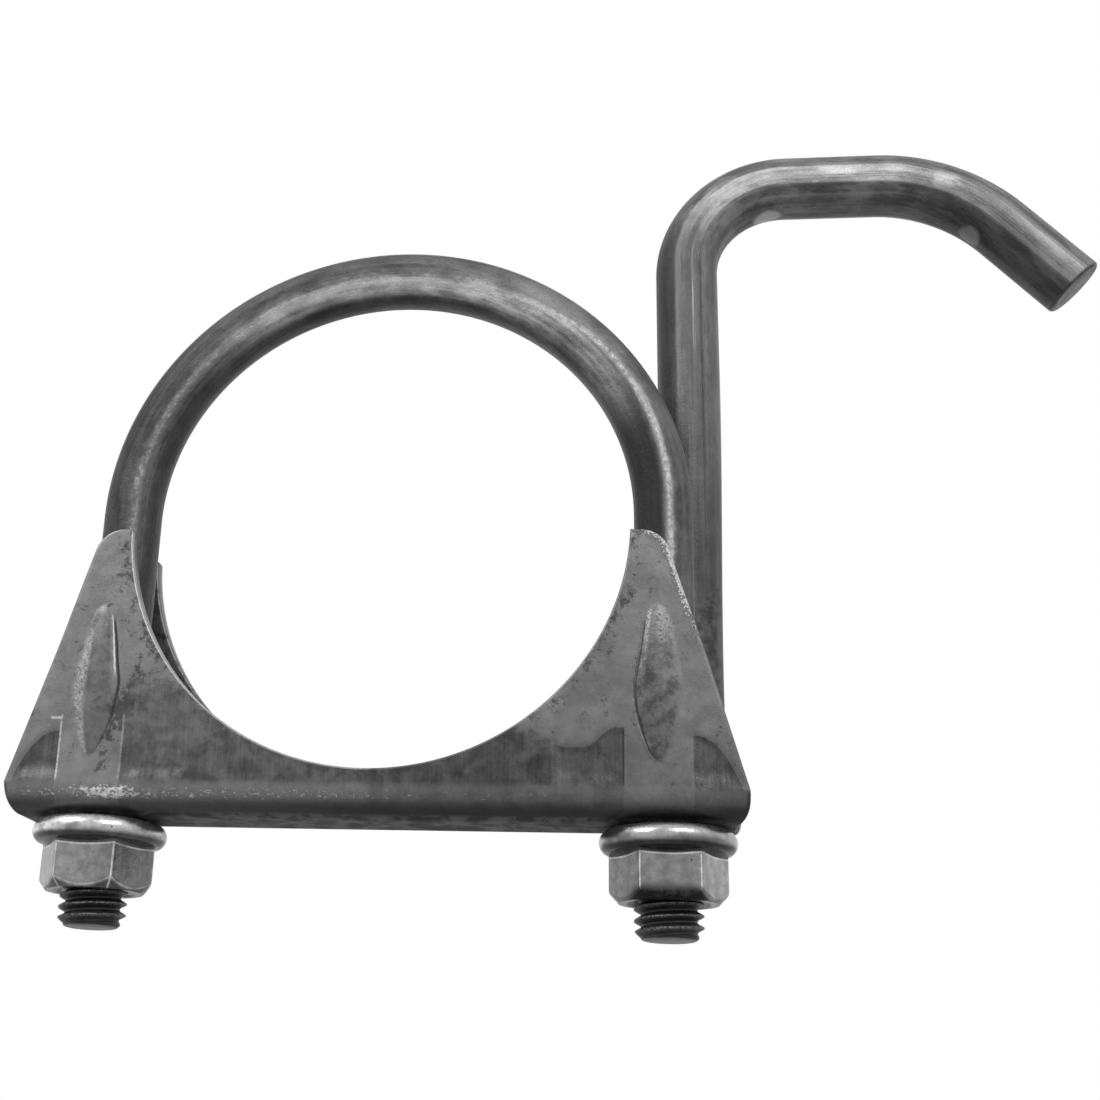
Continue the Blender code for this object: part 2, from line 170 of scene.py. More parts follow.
def addOperation(name, operation):
    setattr(Wire, name, lambda self, other: self.math(operation, self, other))
    if name.startswith("__"):
        backward = name.replace("__", "__r", 1)
        setattr(Wire, backward, lambda self, other: self.math(operation, other, self))


for name, operation in operations.items():
    addOperation(name, operation)


def join(tree, value, socket):
    if isinstance(value, Wire):
        tree.links.new(value.socket, socket)
    else:
        socket.default_value = value


class Paint:
    def __init__(self, name, tones=None):
        self.tones = tones
        self.material = bpy.data.materials.new(name)
        self.material.use_nodes = True
        self.tree = self.material.node_tree
        self.tree.nodes.clear()
        place = self.node("ShaderNodeTexCoord", {}, {}, "Object")
        values = {0: place, "Scale": 1 / mm}
        self.point = self.node("ShaderNodeVectorMath", {"operation": "SCALE"}, values)
        axes = [self.node("ShaderNodeSeparateXYZ", {}, {0: self.point}, axis) for axis in "XYZ"]
        self.x, self.y, self.z = axes

    def node(self, kind, settings, values, output=0):
        node = self.tree.nodes.new(kind)
        for key, value in settings.items():
            setattr(node, key, value)
        for key, value in values.items():
            if value is not None:
                join(self.tree, value, node.inputs[key])
        return Wire(self.tree, node.outputs[output])

    def stretched(self, across, deep, high):
        values = {0: self.point, 1: (across, deep, high)}
        return self.node("ShaderNodeVectorMath", {"operation": "MULTIPLY"}, values)

    def noise(self, scale, detail=3, rough=0.55, point=None, bend=0):
        values = {"Vector": point or self.point, "Scale": scale}
        values |= {"Detail": detail, "Roughness": rough, "Distortion": bend}
        return self.node("ShaderNodeTexNoise", {}, values)

    def cells(self, scale):
        values = {"Vector": self.point, "Scale": scale}
        return self.node("ShaderNodeTexVoronoi", {}, values, "Distance")

    def joined(self, x, y, z):
        return self.node("ShaderNodeCombineXYZ", {}, {0: x, 1: y, 2: z})

    def bump(self, height, depth, normal=None):
        values = {"Height": height, "Distance": depth * mm, "Strength": 1, "Normal": normal}
        return self.node("ShaderNodeBump", {}, values, "Normal")

    def lay(self, tone, share):
        # lays a tone, or the piece's tone of that name, over the colour so far
        tone = self.tones[tone] if isinstance(tone, str) else tone
        self.colour = self.colour.toward(tone, share)

    def dim(self, share):
        self.colour = self.colour * (1 - share)

    def finished(self, roughness, metallic, normal=None):
        values = {"Base Color": self.colour, "Roughness": roughness, "Metallic": metallic}
        values["Normal"] = normal
        shader = self.node("ShaderNodeBsdfPrincipled", {}, values)
        node = self.tree.nodes.new("ShaderNodeOutputMaterial")
        join(self.tree, shader, node.inputs["Surface"])
        return self.material


# sizes shared by several pieces, in millimetres

form = {
    "sheet": 2.5, "halfWidth": 7.8, "foldRadius": 4.2, "baseZ": -43.55, "foldTopZ": -39.35,
    "boltX": 40.55, "boltShift": 0.75, "bowLift": 3.2, "barRadius": 4.35,
    "threadRadius": 4.7625, "nutSeatZ": -43.85,
}


# saddle

saddle = {
    "baseEndX": 50.65, "foldEndX": 52.05, "tipX": 38.15, "tipZ": -5.5, "tipRadius": 4,
    "leftTipProud": 0.3, "rightTipLower": 0.35, "rightTipCut": 0.1, "edgeBowFrom": 5,
    "edgeBowTo": 22, "seatX": -0.3, "seatZ": -0.3, "seatRadius": 36.6,
    "endBulge": {-1: 0.45, 1: 0.75}, "edgeRound": 0.3, "leafX": 39.95, "leafZ": -24.6,
    "leafHalfLength": 11.2, "leafHalfWidth": 3.4, "leafHeight": {-1: 0.55, 1: 0.75},
    "leafTaper": 0.55, "leafTopPower": 12, "leafFootPower": 0.75, "stripHalfWidth": 4.7,
    # how far across the leaf its sharp side ends and its easy side starts, and that side's fall
    "leafSharpTo": -0.55, "leafEasyFrom": -0.15, "leafEasyPower": 1.3,
    "pressDepth": 0.3, "pressTopZ": -30.9, "pressLevel": 1.2, "pressRun": 4.4,
    "pressFall": 2.8, "pressRim": 0.9, "outerPressDrop": 1, "outerPressPower": 2.2,
    # soft borders of the pressed area: beside the strip, at its top, toward the middle, at the fold
    "besideStrip": (-1, 1.2), "underTop": (-0.5, 1), "fromMiddle": (25, 27.5),
    "overFold": (0, 2.5),
    "holeRadius": 5.2125, "holeStretch": 0.7, "holeSides": 62, "cutterHeight": 9,
    "firstColumnRadius": 36.9, "tipColumns": 12, "edgeColumns": 76, "foldColumns": 96,
    "wallRows": 44, "foldRows": 10, "baseRows": 6, "cornerAngle": 47,
}
rimRows = [0, 0.05, 0.13, 0.26, 0.45]  # rows of the grid beside each sheared edge

tipX, tipZ, tipRadius = saddle["tipX"], saddle["tipZ"], saddle["tipRadius"]
foldEndX, foldTopZ = saddle["foldEndX"], form["foldTopZ"]

# angle above level of the sloping edge's outward direction
edgeRun = foldEndX - tipX
edgeRise = tipZ - foldTopZ
lean = atan2(edgeRun, edgeRise) - asin(tipRadius / hypot(edgeRun, edgeRise))
edgeNormal = (cos(lean), sin(lean))

# the plain strip's two sides, and the outer pressed area's first height and far end
stripNear = saddle["leafX"] - saddle["stripHalfWidth"]
stripFar = saddle["leafX"] + saddle["stripHalfWidth"]
outerPressZ = saddle["pressTopZ"] - saddle["outerPressDrop"]
outerPressEnd = foldEndX - saddle["pressRim"]


def tipReach(angle, side):
    # the right tip is lower and more pointed than the left one
    if side < 0:
        return tipRadius + saddle["leftTipProud"]
    share = max(0, (angle - lean) / (pi / 2 - lean))
    cut = saddle["rightTipCut"] * sin(min(pi, pi * share))
    return tipRadius - saddle["rightTipLower"] - cut


def edgeCut(z, side):
    # the straight outer edges bow by a few tenths near the tips
    cut = saddle["rightTipLower"] if side > 0 else -saddle["leftTipProud"]
    return cut * (1 - smooth(-z, saddle["edgeBowFrom"], saddle["edgeBowTo"]))


def tipPoint(angle, side):
    reach = tipReach(angle, side)
    x = tipX + reach * cos(angle)
    z = tipZ + reach * sin(angle)
    return x, z


def seatPoint(angle, side):
    # side is 1 on the right; the columns of the left half are mirrored later
    x = saddle["seatX"] * side + saddle["seatRadius"] * cos(angle)
    return x, saddle["seatZ"] - saddle["seatRadius"] * sin(angle)


def halfColumns(side):
    # pairs of points on the pipe seat and the outline, from the horn's tip to the middle
    pairs = []
    corner = radians(saddle["cornerAngle"])
    apart = hypot(tipX, tipZ)
    # the first column starts where the tip's round meets the pipe
    cosine = tipRadius**2 + apart**2 - saddle["firstColumnRadius"] ** 2
    cosine /= 2 * tipRadius * apart
    crossing = atan2(-tipZ, -tipX) - acos(cosine)
    meeting = tipPoint(crossing, -1)
    first = -atan2(meeting[1], meeting[0])
    outline = [tipPoint(a, side) for a in steps(pi / 2, lean, saddle["tipColumns"])]
    startX = tipX + tipRadius * cos(lean)
    startZ = tipZ + tipRadius * sin(lean)
    for share in steps(0, 1, saddle["edgeColumns"])[1:]:
        z = startZ + (foldTopZ - startZ) * share
        outline.append((startX + (foldEndX - startX) * share - edgeCut(z, side), z))
    for angle, outer in zip(steps(first, corner, len(outline) - 1), outline):
        pairs.append((seatPoint(angle, side), outer))
    inner = seatPoint(corner, side)[0]
    along = rimRows[1:] + steps(rimRows[-1], foldEndX, saddle["foldColumns"])[1:]
    for gone in along:
        x = foldEndX - gone
        seatX = inner * x / foldEndX
        low = sqrt(saddle["seatRadius"] ** 2 - (seatX - saddle["seatX"] * side) ** 2)
        pairs.append(((seatX, saddle["seatZ"] - low), (x, foldTopZ)))
    return pairs


rightHalf = halfColumns(1)
leftHalf = halfColumns(-1)[:-1]
columns = rightHalf + [((-a[0], a[1]), (-b[0], b[1])) for a, b in reversed(leftHalf)]
cornerColumn = saddle["tipColumns"] + saddle["edgeColumns"]


def leafHeight(x, z):
    along = (z - saddle["leafZ"]) / saddle["leafHalfLength"]
    if abs(along) >= 1:
        return 0
    up, down = max(along, 0), min(along, 0)
    reach = saddle["leafHalfWidth"] * (1 - saddle["leafTaper"] * up)
    reach *= sqrt(1 - up ** saddle["leafTopPower"])
    reach *= (1 - down * down) ** saddle["leafFootPower"]
    across = (abs(x) - saddle["leafX"]) / max(reach, 0.05)
    if abs(across) >= 1:
        return 0
    # sharp on the pipe's side, easy on the other
    steep = smooth(across, -1, saddle["leafSharpTo"])
    easyFrom = saddle["leafEasyFrom"]
    gone = min(1, max(0, (across - easyFrom) / (1 - easyFrom)))
    easy = cos(pi / 2 * gone) ** saddle["leafEasyPower"]
    height = saddle["leafHeight"][1 if x > 0 else -1]
    return height * sqrt(1 - along**2) * steep * easy


def pressTop(x):
    # top of the pressed area at a distance x from the middle of the saddle
    if x < stripNear:
        fall = smooth(stripNear - saddle["pressLevel"] - x, 0, saddle["pressRun"])
        return saddle["pressTopZ"] - saddle["pressFall"] * fall
    share = min(1, max(0, (x - stripFar) / (outerPressEnd - stripFar)))
    return outerPressZ + (foldTopZ - outerPressZ) * share ** saddle["outerPressPower"]


def pressed(x, z):
    # how deep the sheet is pressed, from 0 to 1
    x = abs(x)
    fromStrip = abs(x - saddle["leafX"]) - saddle["stripHalfWidth"]
    beside = smooth(fromStrip, *saddle["besideStrip"])
    below = smooth(pressTop(x) - z, *saddle["underTop"])
    near = smooth(x, *saddle["fromMiddle"])
    return beside * below * near * smooth(z - foldTopZ, *saddle["overFold"])


def fromOutline(x, z):
    # distance from the outline, inside it
    side = 1 if x > 0 else -1
    gaps = [hypot(x - saddle["seatX"], z - saddle["seatZ"]) - saddle["seatRadius"]]
    x = abs(x)
    beyond = foldEndX - edgeCut(z, side) - x
    gaps.append(beyond * edgeNormal[0] + (foldTopZ - z) * edgeNormal[1])
    aside = (x - tipX, z - tipZ)
    turn = atan2(aside[1], aside[0])
    if turn > lean:
        gaps.append(tipReach(turn, side) - hypot(*aside))
    return max(0, min(gaps))


def rounding(gap):
    # how far the rounded edge lies under the sheet's face
    r = saddle["edgeRound"]
    return r - sqrt(r * r - (r - gap) ** 2) if gap < r else 0


def wallPoint(i, j, inside, facing):
    seat, outer = columns[i]
    length = hypot(outer[0] - seat[0], outer[1] - seat[1])
    last = saddle["wallRows"]
    rims = len(rimRows) - 1
    if j <= rims:
        gone = rimRows[j]
    elif j >= last - rims:
        gone = length - rimRows[last - j]
    else:
        gone = rimRows[-1] + (length - 2 * rimRows[-1]) * (j - rims) / (last - 2 * rims)
    share = gone / length
    x = seat[0] + (outer[0] - seat[0]) * share
    z = seat[1] + (outer[1] - seat[1]) * share
    out = leafHeight(x, z)
    trim = rounding(fromOutline(x, z))
    if inside:
        out += trim - form["sheet"]
    else:
        out -= trim + saddle["pressDepth"] * pressed(x, z)
    return x, facing * (form["halfWidth"] + out), z


def foldPoint(i, j, inside):
    x = columns[i][1][0]
    folds = saddle["foldRows"]
    bases = saddle["baseRows"]
    straight = form["halfWidth"] - form["foldRadius"]
    if j <= folds:
        turn = pi / 2 * j / folds
        centre = -straight
    elif j < folds + bases:
        turn = pi / 2
        centre = -straight + 2 * straight * (j - folds) / bases
    else:
        turn = pi / 2 * (2 * folds + bases - j) / folds
        centre = straight
    facing = -1 if j <= folds else 1
    outerZ = foldTopZ - form["foldRadius"] * sin(turn)
    share = (outerZ - form["baseZ"]) / form["foldRadius"]
    end = saddle["baseEndX"] + (foldEndX - saddle["baseEndX"]) * share
    end += saddle["endBulge"][1 if x > 0 else -1] * sin(2 * min(turn, pi / 2))
    x *= end / foldEndX
    trim = rounding(max(0, end - abs(x)))
    radius = form["foldRadius"] - (form["sheet"] - trim if inside else trim)
    return x, centre + facing * radius * cos(turn), foldTopZ - radius * sin(turn)


def saddlePoint(i, j, inside):
    walls = saddle["wallRows"]
    middle = 2 * saddle["foldRows"] + saddle["baseRows"]
    if j <= walls:
        return wallPoint(i, j, inside, -1)
    if j >= walls + middle:
        return wallPoint(i, 2 * walls + middle - j, inside, 1)
    return foldPoint(i, j - walls, inside)


def cutHoles(bm):
    cutters = bmesh.new()
    radius = saddle["holeRadius"]
    for side in (-1, 1):
        place = Matrix.Translation((side * form["boltX"], 0, form["baseZ"]))
        made = bmesh.ops.create_cone(
            cutters, cap_ends=True, segments=saddle["holeSides"], radius1=radius, radius2=radius,
            depth=saddle["cutterHeight"], matrix=place,
        )
        for vert in made["verts"]:
            vert.co.x += copysign(saddle["holeStretch"], vert.co.x - side * form["boltX"])
    objects = []
    for name, part in (("plate", bm), ("cutters", cutters)):
        mesh = bpy.data.meshes.new(name)
        part.to_mesh(mesh)
        part.free()
        objects.append(bpy.data.objects.new(name, mesh))
        bpy.context.scene.collection.objects.link(objects[-1])
    cut = objects[0].modifiers.new("holes", "BOOLEAN")
    cut.operation = "DIFFERENCE"
    cut.solver = "EXACT"
    cut.object = objects[1]
    shaped = objects[0].evaluated_get(bpy.context.evaluated_depsgraph_get()).to_mesh()
    result = bmesh.new()
    result.from_mesh(shaped)
    for item in objects:
        bpy.data.objects.remove(item)
    return result


def makeSaddle(material):
    # one flat grid, doubled for the sheet's two faces and then bent to shape
    walls = saddle["wallRows"]
    middle = 2 * saddle["foldRows"] + saddle["baseRows"]
    wide = len(columns) - 1
    high = 2 * walls + middle
    bm = bmesh.new()
    bmesh.ops.create_grid(bm, x_segments=wide, y_segments=high, size=0.5)
    for vert in bm.verts:
        vert.co = (round((vert.co.x + 0.5) * wide), round((vert.co.y + 0.5) * high), 0)
    beyond = []
    for face in bm.faces:
        centre = face.calc_center_median()
        aside = centre.x < cornerColumn or centre.x > wide - cornerColumn
        if aside and walls < centre.y < walls + middle:
            beyond.append(face)
    bmesh.ops.delete(bm, geom=beyond, context="FACES")
    raised = bmesh.ops.extrude_face_region(bm, geom=bm.faces[:])
    bmesh.ops.translate(bm, vec=(0, 0, 1), verts=vertsOf(raised["geom"]))
    for vert in bm.verts:
        vert.co = saddlePoint(round(vert.co.x), round(vert.co.y), vert.co.z > 0.5)
    merge(bm)
    bmesh.ops.recalc_face_normals(bm, faces=bm.faces)
    asPiece("clampSaddle", cutHoles(bm), material, "bracket", "saddle_steel", "saddle")


# U-bolt

bolt = {
    "pitch": 1.5875, "rootRadius": 3.86, "legEndZ": -58.6, "threadTopZ": -26.6,
    "runOut": 3.2, "chamfer": 1, "chamferSlope": 0.9, "around": 64, "firstRun": 10,
    "bowSteps": 120,
}
threadDepth = form["threadRadius"] - bolt["rootRadius"]
# one pitch of the thread: share of the pitch, share of the depth
threadShape = [
    (0, 1), (0.13, 1), (0.2, 0.82), (0.42, 0.12),
    (0.5, 0), (0.64, 0), (0.72, 0.12), (0.93, 0.82),
]
# rings of the leg's domed end: share of its radius, drop below its edge
legDome = [(0.93, 0.12), (0.82, 0.2), (0.6, 0.26), (0.3, 0.3)]


def legX(side):
    return form["boltShift"] + side * form["boltX"]


def threadPoint(point, turn):
    x, y, z = point
    top = bolt["threadTopZ"]
    end = bolt["legEndZ"]
    cut = smooth(top - z, 0, bolt["runOut"])
    radius = form["barRadius"] + cut * (hypot(x, y) - form["barRadius"])
    limit = form["threadRadius"] - bolt["chamfer"] + max(0, z - end) * bolt["chamferSlope"]
    radius = min(radius, limit)
    if z >= top:
        z = top
        radius = form["barRadius"]
    if z <= end:
        z = end
        radius = limit
    return radius * cos(turn), radius * sin(turn), z


def addLeg(bm, side):
    new = bmesh.new()
    pitch, around, end = bolt["pitch"], bolt["around"], bolt["legEndZ"]
    turns = ceil((bolt["threadTopZ"] - end) / pitch) + 2
    points = []
    for k in range(turns):
        for share, height in threadShape:
            reach = bolt["rootRadius"] + threadDepth * height
            points.append((reach, 0, end + (k - 1 + share) * pitch))
    verts, edges = addChain(new, points)
    rise = (0, 0, pitch / around)
    spin(new, verts + edges, (0, 0, 0), (0, 0, 1), 2 * pi, around, rise)
    for vert in new.verts:
        step = round(atan2(vert.co.y, vert.co.x) / (2 * pi) * around)
        vert.co = threadPoint(vert.co, step / around * 2 * pi)
    merge(new, 2e-3)
    low = [e for e in new.edges if e.is_boundary and max(v.co.z for v in e.verts) < end + 0.01]
    for shrink, drop in legDome:
        ring = bmesh.ops.extrude_edge_only(new, edges=low)["geom"]
        low = [g for g in ring if isinstance(g, bmesh.types.BMEdge) and g.is_boundary]
        for vert in {v for e in low for v in e.verts}:
            reach = hypot(vert.co.x, vert.co.y)
            size = (form["threadRadius"] - bolt["chamfer"]) * shrink / reach
            vert.co = (vert.co.x * size, vert.co.y * size, end - drop)
    bmesh.ops.edgeloop_fill(new, edges=low)
    bmesh.ops.translate(new, vec=(legX(side), 0, 0), verts=new.verts)
    mesh = bpy.data.meshes.new("leg")
    new.to_mesh(mesh)
    new.free()
    bm.from_mesh(mesh)


def makeBolt(material):
    bm = bmesh.new()
    place = Matrix.Translation((legX(-1), 0, bolt["threadTopZ"]))
    bmesh.ops.create_circle(bm, segments=bolt["around"], radius=form["barRadius"], matrix=place)
    limb = form["bowLift"] - bolt["threadTopZ"]
    edges = drawOut(bm, bm.edges[:], (0, 0, bolt["firstRun"]))[1]
    verts, edges = drawOut(bm, edges, (0, 0, limb - bolt["firstRun"]))
    centre = (form["boltShift"], 0, form["bowLift"])
    edges = swing(bm, verts + edges, centre, pi, bolt["bowSteps"])[1]
    drawOut(bm, edges, (0, 0, -limb))
    for side in (-1, 1):
        addLeg(bm, side)
    merge(bm, 2e-3)
    asPiece("uBolt", bm, material, "clamp_bolt", "bolt_steel", "u_bolt")


# flange nuts

nut = {
    "height": 10, "flats": 14.29, "flangeRadius": 9.525, "rim": 3.4, "chamferRadius": 6.8,
    "chamferHeight": 1.5, "boreRadius": 5.0625, "countersink": 0.7, "hollowZ": -3.15,
    "hollowHeight": 0.9, "hollowRadius": 8.71, "hollowDepth": 1.9, "hollowPower": 0.62,
    "around": 240, "sharpness": 70,
}
# from, to and number of steps down the nut's side, below the flange's rim
nutLevels = [(nut["hollowZ"], -4.4, 12), (-4.4, -8.2, 16), (-8.2, -9.96, 20)]
cornerRadius = nut["flats"] / sqrt(3)
coneSlope = (cornerRadius - nut["chamferRadius"]) / nut["chamferHeight"]


def flangeRadius(z):
    # rim's round, then a hollow that runs into the hexagon
    rim = nut["rim"] / 2
    if z > nut["hollowZ"]:
        return nut["flangeRadius"] - rim + sqrt(max(0, rim**2 - (z + rim) ** 2))
    down = (nut["hollowZ"] - z) / nut["hollowHeight"]
    if down >= 1:
        return nut["chamferRadius"]
    return nut["hollowRadius"] - nut["hollowDepth"] * down ** nut["hollowPower"]


def nutRadius(turn, z):
    power = nut["sharpness"]
    flat = nut["flats"] / 2
    # hexagon, chamfer and flange run into each other with small rounds, by a high power
    faces = (cos(turn - pi / 6 - k * pi / 3) for k in range(6))
    hexagon = flat / sum(max(0, face) ** power for face in faces) ** (1 / power)
    cone = nut["chamferRadius"] + (z + nut["height"]) * coneSlope
    body = (hexagon**-power + cone**-power) ** (-1 / power)
    flange = flangeRadius(z)
    if z > -nut["rim"] / 2:
        return flange
    return (flange**power + body**power) ** (1 / power)


def nutProfile():
    points = []
    for angle in steps(90, -58, 22):
        a = radians(angle)
        points.append(nut["rim"] / 2 * (sin(a) - 1))
    for high, low, count in nutLevels:
        points += steps(high, low, count)[1:]
    return points


def makeNut(name, side, turn, material, body, node):
    bm = bmesh.new()
    bore = nut["boreRadius"]
    sink = nut["countersink"]
    # the outside is spun as a plain tube, and then takes its true radius
    outside = [(nut["flangeRadius"] - nut["rim"] / 2, 0, z) for z in nutProfile()]
    low = -nut["height"]
    inside = [
        (bore + sink + 0.08, 0, low), (bore + sink - 0.06, 0, low + 0.06),
        (bore, 0, low + sink), (bore, 0, -sink), (bore + sink, 0, 0),
    ]
    verts, edges = addChain(bm, outside + inside)
    edges.append(bm.edges.new((verts[-1], verts[0])))
    spin(bm, verts + edges, (0, 0, 0), (0, 0, 1), 2 * pi, nut["around"], closed=True)
    for vert in bm.verts:
        angle = atan2(vert.co.y, vert.co.x)
        reach = hypot(vert.co.x, vert.co.y)
        if reach > bore + sink + 0.3:
            size = nutRadius(angle, vert.co.z) / reach
            vert.co.x *= size
            vert.co.y *= size
    merge(bm)
    place = Matrix.Translation((legX(side), 0, form["nutSeatZ"]))
    bmesh.ops.transform(bm, matrix=place @ Matrix.Rotation(turn, 4, "Z"), verts=bm.verts)
    asPiece(name, bm, material, body, "nut_zinc", node)


# hanger rod and its weld

rod = {
    "radius": 5, "x": 45.9, "y": 13.1, "footZ": -41.05, "runZ": 67.65, "bendRadius": 16.5,
    "tipBendX": 77.134, "tipBendRadius": 27.1, "tipAngle": 48, "tipLength": 15.5,
    "footShift": -0.35, "headShift": 0.3, "shiftFrom": -20, "shiftTo": 30, "runDrop": -0.2,
    "dropFrom": 45, "dropTo": 62, "uprightSteps": 24, "bendSteps": 40, "tipBendSteps": 30,
    "around": 56, "edgeRound": 0.6,
}
bead = {
    "radius": 1.5, "gap": 0.3, "ripple": 0.12, "wave": 1.3,
    "upper": (-7.7, 9),  # height of its middle, length
    "lower": (-38.95, 4),
}


def makeRod(material):
    bm = bmesh.new()
    place = Matrix.Translation((rod["x"], rod["y"], rod["footZ"]))
    bmesh.ops.create_circle(
        bm, cap_ends=True, segments=rod["around"], radius=rod["radius"], matrix=place,
    )
    rim = bm.edges[:]
    verts, edges = bm.verts[:], bm.edges[:]
    bendX = rod["x"] + rod["bendRadius"]
    bendZ = rod["runZ"] - rod["bendRadius"]
    step = (bendZ - rod["footZ"]) / rod["uprightSteps"]
    for _ in range(rod["uprightSteps"]):
        verts, edges = drawOut(bm, edges, (0, 0, step))
    centre = (bendX, rod["y"], bendZ)
    edges = swing(bm, verts + edges, centre, pi / 2, rod["bendSteps"])[1]
    verts, edges = drawOut(bm, edges, (rod["tipBendX"] - bendX, 0, 0))
    centre = (rod["tipBendX"], rod["y"], rod["runZ"] - rod["tipBendRadius"])
    turn = radians(rod["tipAngle"])
    edges = swing(bm, verts + edges, centre, turn, rod["tipBendSteps"])[1]
    tip = (rod["tipLength"] * cos(turn), 0, -rod["tipLength"] * sin(turn))
    edges = drawOut(bm, edges, tip)[1]
    bmesh.ops.edgeloop_fill(bm, edges=edges)
    bmesh.ops.bevel(
        bm, geom=rim + edges, offset=rod["edgeRound"], segments=4, profile=0.5,
        affect="EDGES", material=-1,
    )
    # the real rod leans by a few tenths, and its run lies a little lower
    spread = rod["headShift"] - rod["footShift"]
    for vert in bm.verts:
        vert.co.x += rod["footShift"] + spread * smooth(vert.co.z, rod["shiftFrom"], rod["shiftTo"])
        vert.co.z += rod["runDrop"] * smooth(vert.co.z, rod["dropFrom"], rod["dropTo"])
    asPiece("hangerRod", bm, material, "bracket", "rod_steel", "hanger_rod")


def makeBead(name, z, length, material, node):
    # lies in the groove between the rod and the wall, on the rod's inner side
    y = form["halfWidth"] + bead["gap"] + bead["radius"]
    apart = rod["radius"] + bead["gap"] + bead["radius"]
    x = rod["x"] - sqrt(apart**2 - (rod["y"] - y) ** 2)
    bm = bmesh.new()
    bmesh.ops.create_uvsphere(bm, u_segments=40, v_segments=48, radius=1)
    for vert in bm.verts:
        along = vert.co.z * length / 2
        across = hypot(vert.co.x, vert.co.y)
        full = min(1, across * 1.6) / max(across, 1e-6)
        wave = 0.5 + 0.5 * cos(2 * pi * along / bead["wave"])
        size = (bead["radius"] - bead["ripple"] * wave) * full
        size = size if across > 1e-5 else 0
        vert.co = (x + vert.co.x * size, y + vert.co.y * size, z + along)
    merge(bm)
    asPiece(name, bm, material, "bracket", "weld_steel", node)


# finishes

# places on the bars, in millimetres: x, z, half length, half width, slope in degrees
marks = {
    "firstBend": (59.8, 61.9, 2.3, 1.6, 16),
    "secondBend": (91.9, 56.8, 1.8, 1.9, -45),
    "runEnd": (87.4, 65.3, 3.2, 1.1, -14),
    "foot": (48.1, -11.9, 1.7, 0.35, 80),
    "bowTopHighlight": (0.9, 41.6, 3.4, 0.5, 5),
    "bowPale": (23.5, 38.6, 6, 1.5, -32),
}


def markOn(paint, name, soft=0.5, across=None):
    # an oval mark; the half width runs along across, or else in the bar's own plane
    x, z, length, width, slope = marks[name]
    turn = radians(slope)
    along = (paint.x - x) * cos(turn) + (paint.z - z) * sin(turn)
    if across is None:
        across = (paint.z - z) * cos(turn) - (paint.x - x) * sin(turn)
    reach = (along * along / length**2 + across * across / width**2).root()
    reach = reach + (paint.noise(1.2) - 0.5) * soft
    return reach.fall(1 - soft, 1 + soft)


saddlePaint = {
    "plain": 0.125, "web": 0.07, "webRubbed": 0.13, "foldLit": 0.17, "foldShade": 0.05,
    "foldEnd": 0.03, "foldGlints": 0.6, "edge": 0.5, "rightEdge": 0.11, "cutFace": 0.09,
    "burrGlints": 0.55, "leaf": 0.075, "leafRimHighlight": 0.3, "leafTopHighlight": 0.2, "leafGlint": 0.5,
    "lip": 0.4, "crease": 0.02, "pressEdgeHighlight": 0.42, "roughness": 0.36,
    # places in millimetres
    "stainX": -35.6, "stainZ": -29.5, "notchX": 35.15, "glitterX": -36.8, "glitterZ": -40.6,
}


class SaddlePaint(Paint):
    # the masks and clouds that several parts of the saddle share
    def __init__(self):
        super().__init__("saddleSteel", saddlePaint)
        self.off = abs(self.x)
        self.left = self.x.fall(-1, 1)
        self.right = 1 - self.left
        self.wall = abs(self.y).rise(5, 6.6)
        self.front = self.y.fall(-6.6, -5)
        self.cloud = self.noise(0.11, 4, 0.6)
        self.patch = self.noise(0.35, 5, 0.6, bend=0.4)
        self.grain = self.noise(1.6, 5, 0.7)
        self.fine = self.noise(6, 3, 0.7)
        fromPipe = (self.x - saddle["seatX"]) ** 2 + (self.z - saddle["seatZ"]) ** 2
        self.edge = fromPipe.root() - saddle["seatRadius"]


def pressMask(paint):
    # where the sheet was pressed and burnished beside the plain strips, and all along the web
    x, z = paint.off, paint.z
    fall = (stripNear - saddle["pressLevel"] - x).rise(0, saddle["pressRun"])
    lift = (27 - x).most(0) * 0.4
    wander = (paint.noise(0.25) - 0.5) * 0.6
    innerTop = saddle["pressTopZ"] - saddle["pressFall"] * fall + lift + wander
    vague = (innerTop - z + (paint.noise(0.6, 5, 0.7) - 0.5) * 8).rise(-2, 2)
    vagueness = (paint.left * 0.8).most((28 - x).rise(-1, 3) * 0.9)
    inner = (innerTop - z).rise(-0.1, 0.2).toward(vague, vagueness)
    inner = inner * (stripNear - x).rise(-0.1, 0.15)
    # on the left it runs up to the pipe's edge without a clear border
    high = (paint.noise(0.4, 5, 0.7) - 0.5) * 9 - 24.5 - z
    high = high.rise(-1.2, 1.2) * (stripNear - x).rise(-0.4, 0.6)
    inner = inner.most(high * paint.x.fall(-4, 0) * 0.75)
    share = ((x - stripFar) / (outerPressEnd - stripFar)).most(0).least(1)
    outerTop = outerPressZ + (foldTopZ - outerPressZ) * share ** saddle["outerPressPower"]
    outer = (outerTop - z).rise(-0.1, 0.2) * (x - stripFar).rise(-0.15, 0.1)
    return inner.most(outer)


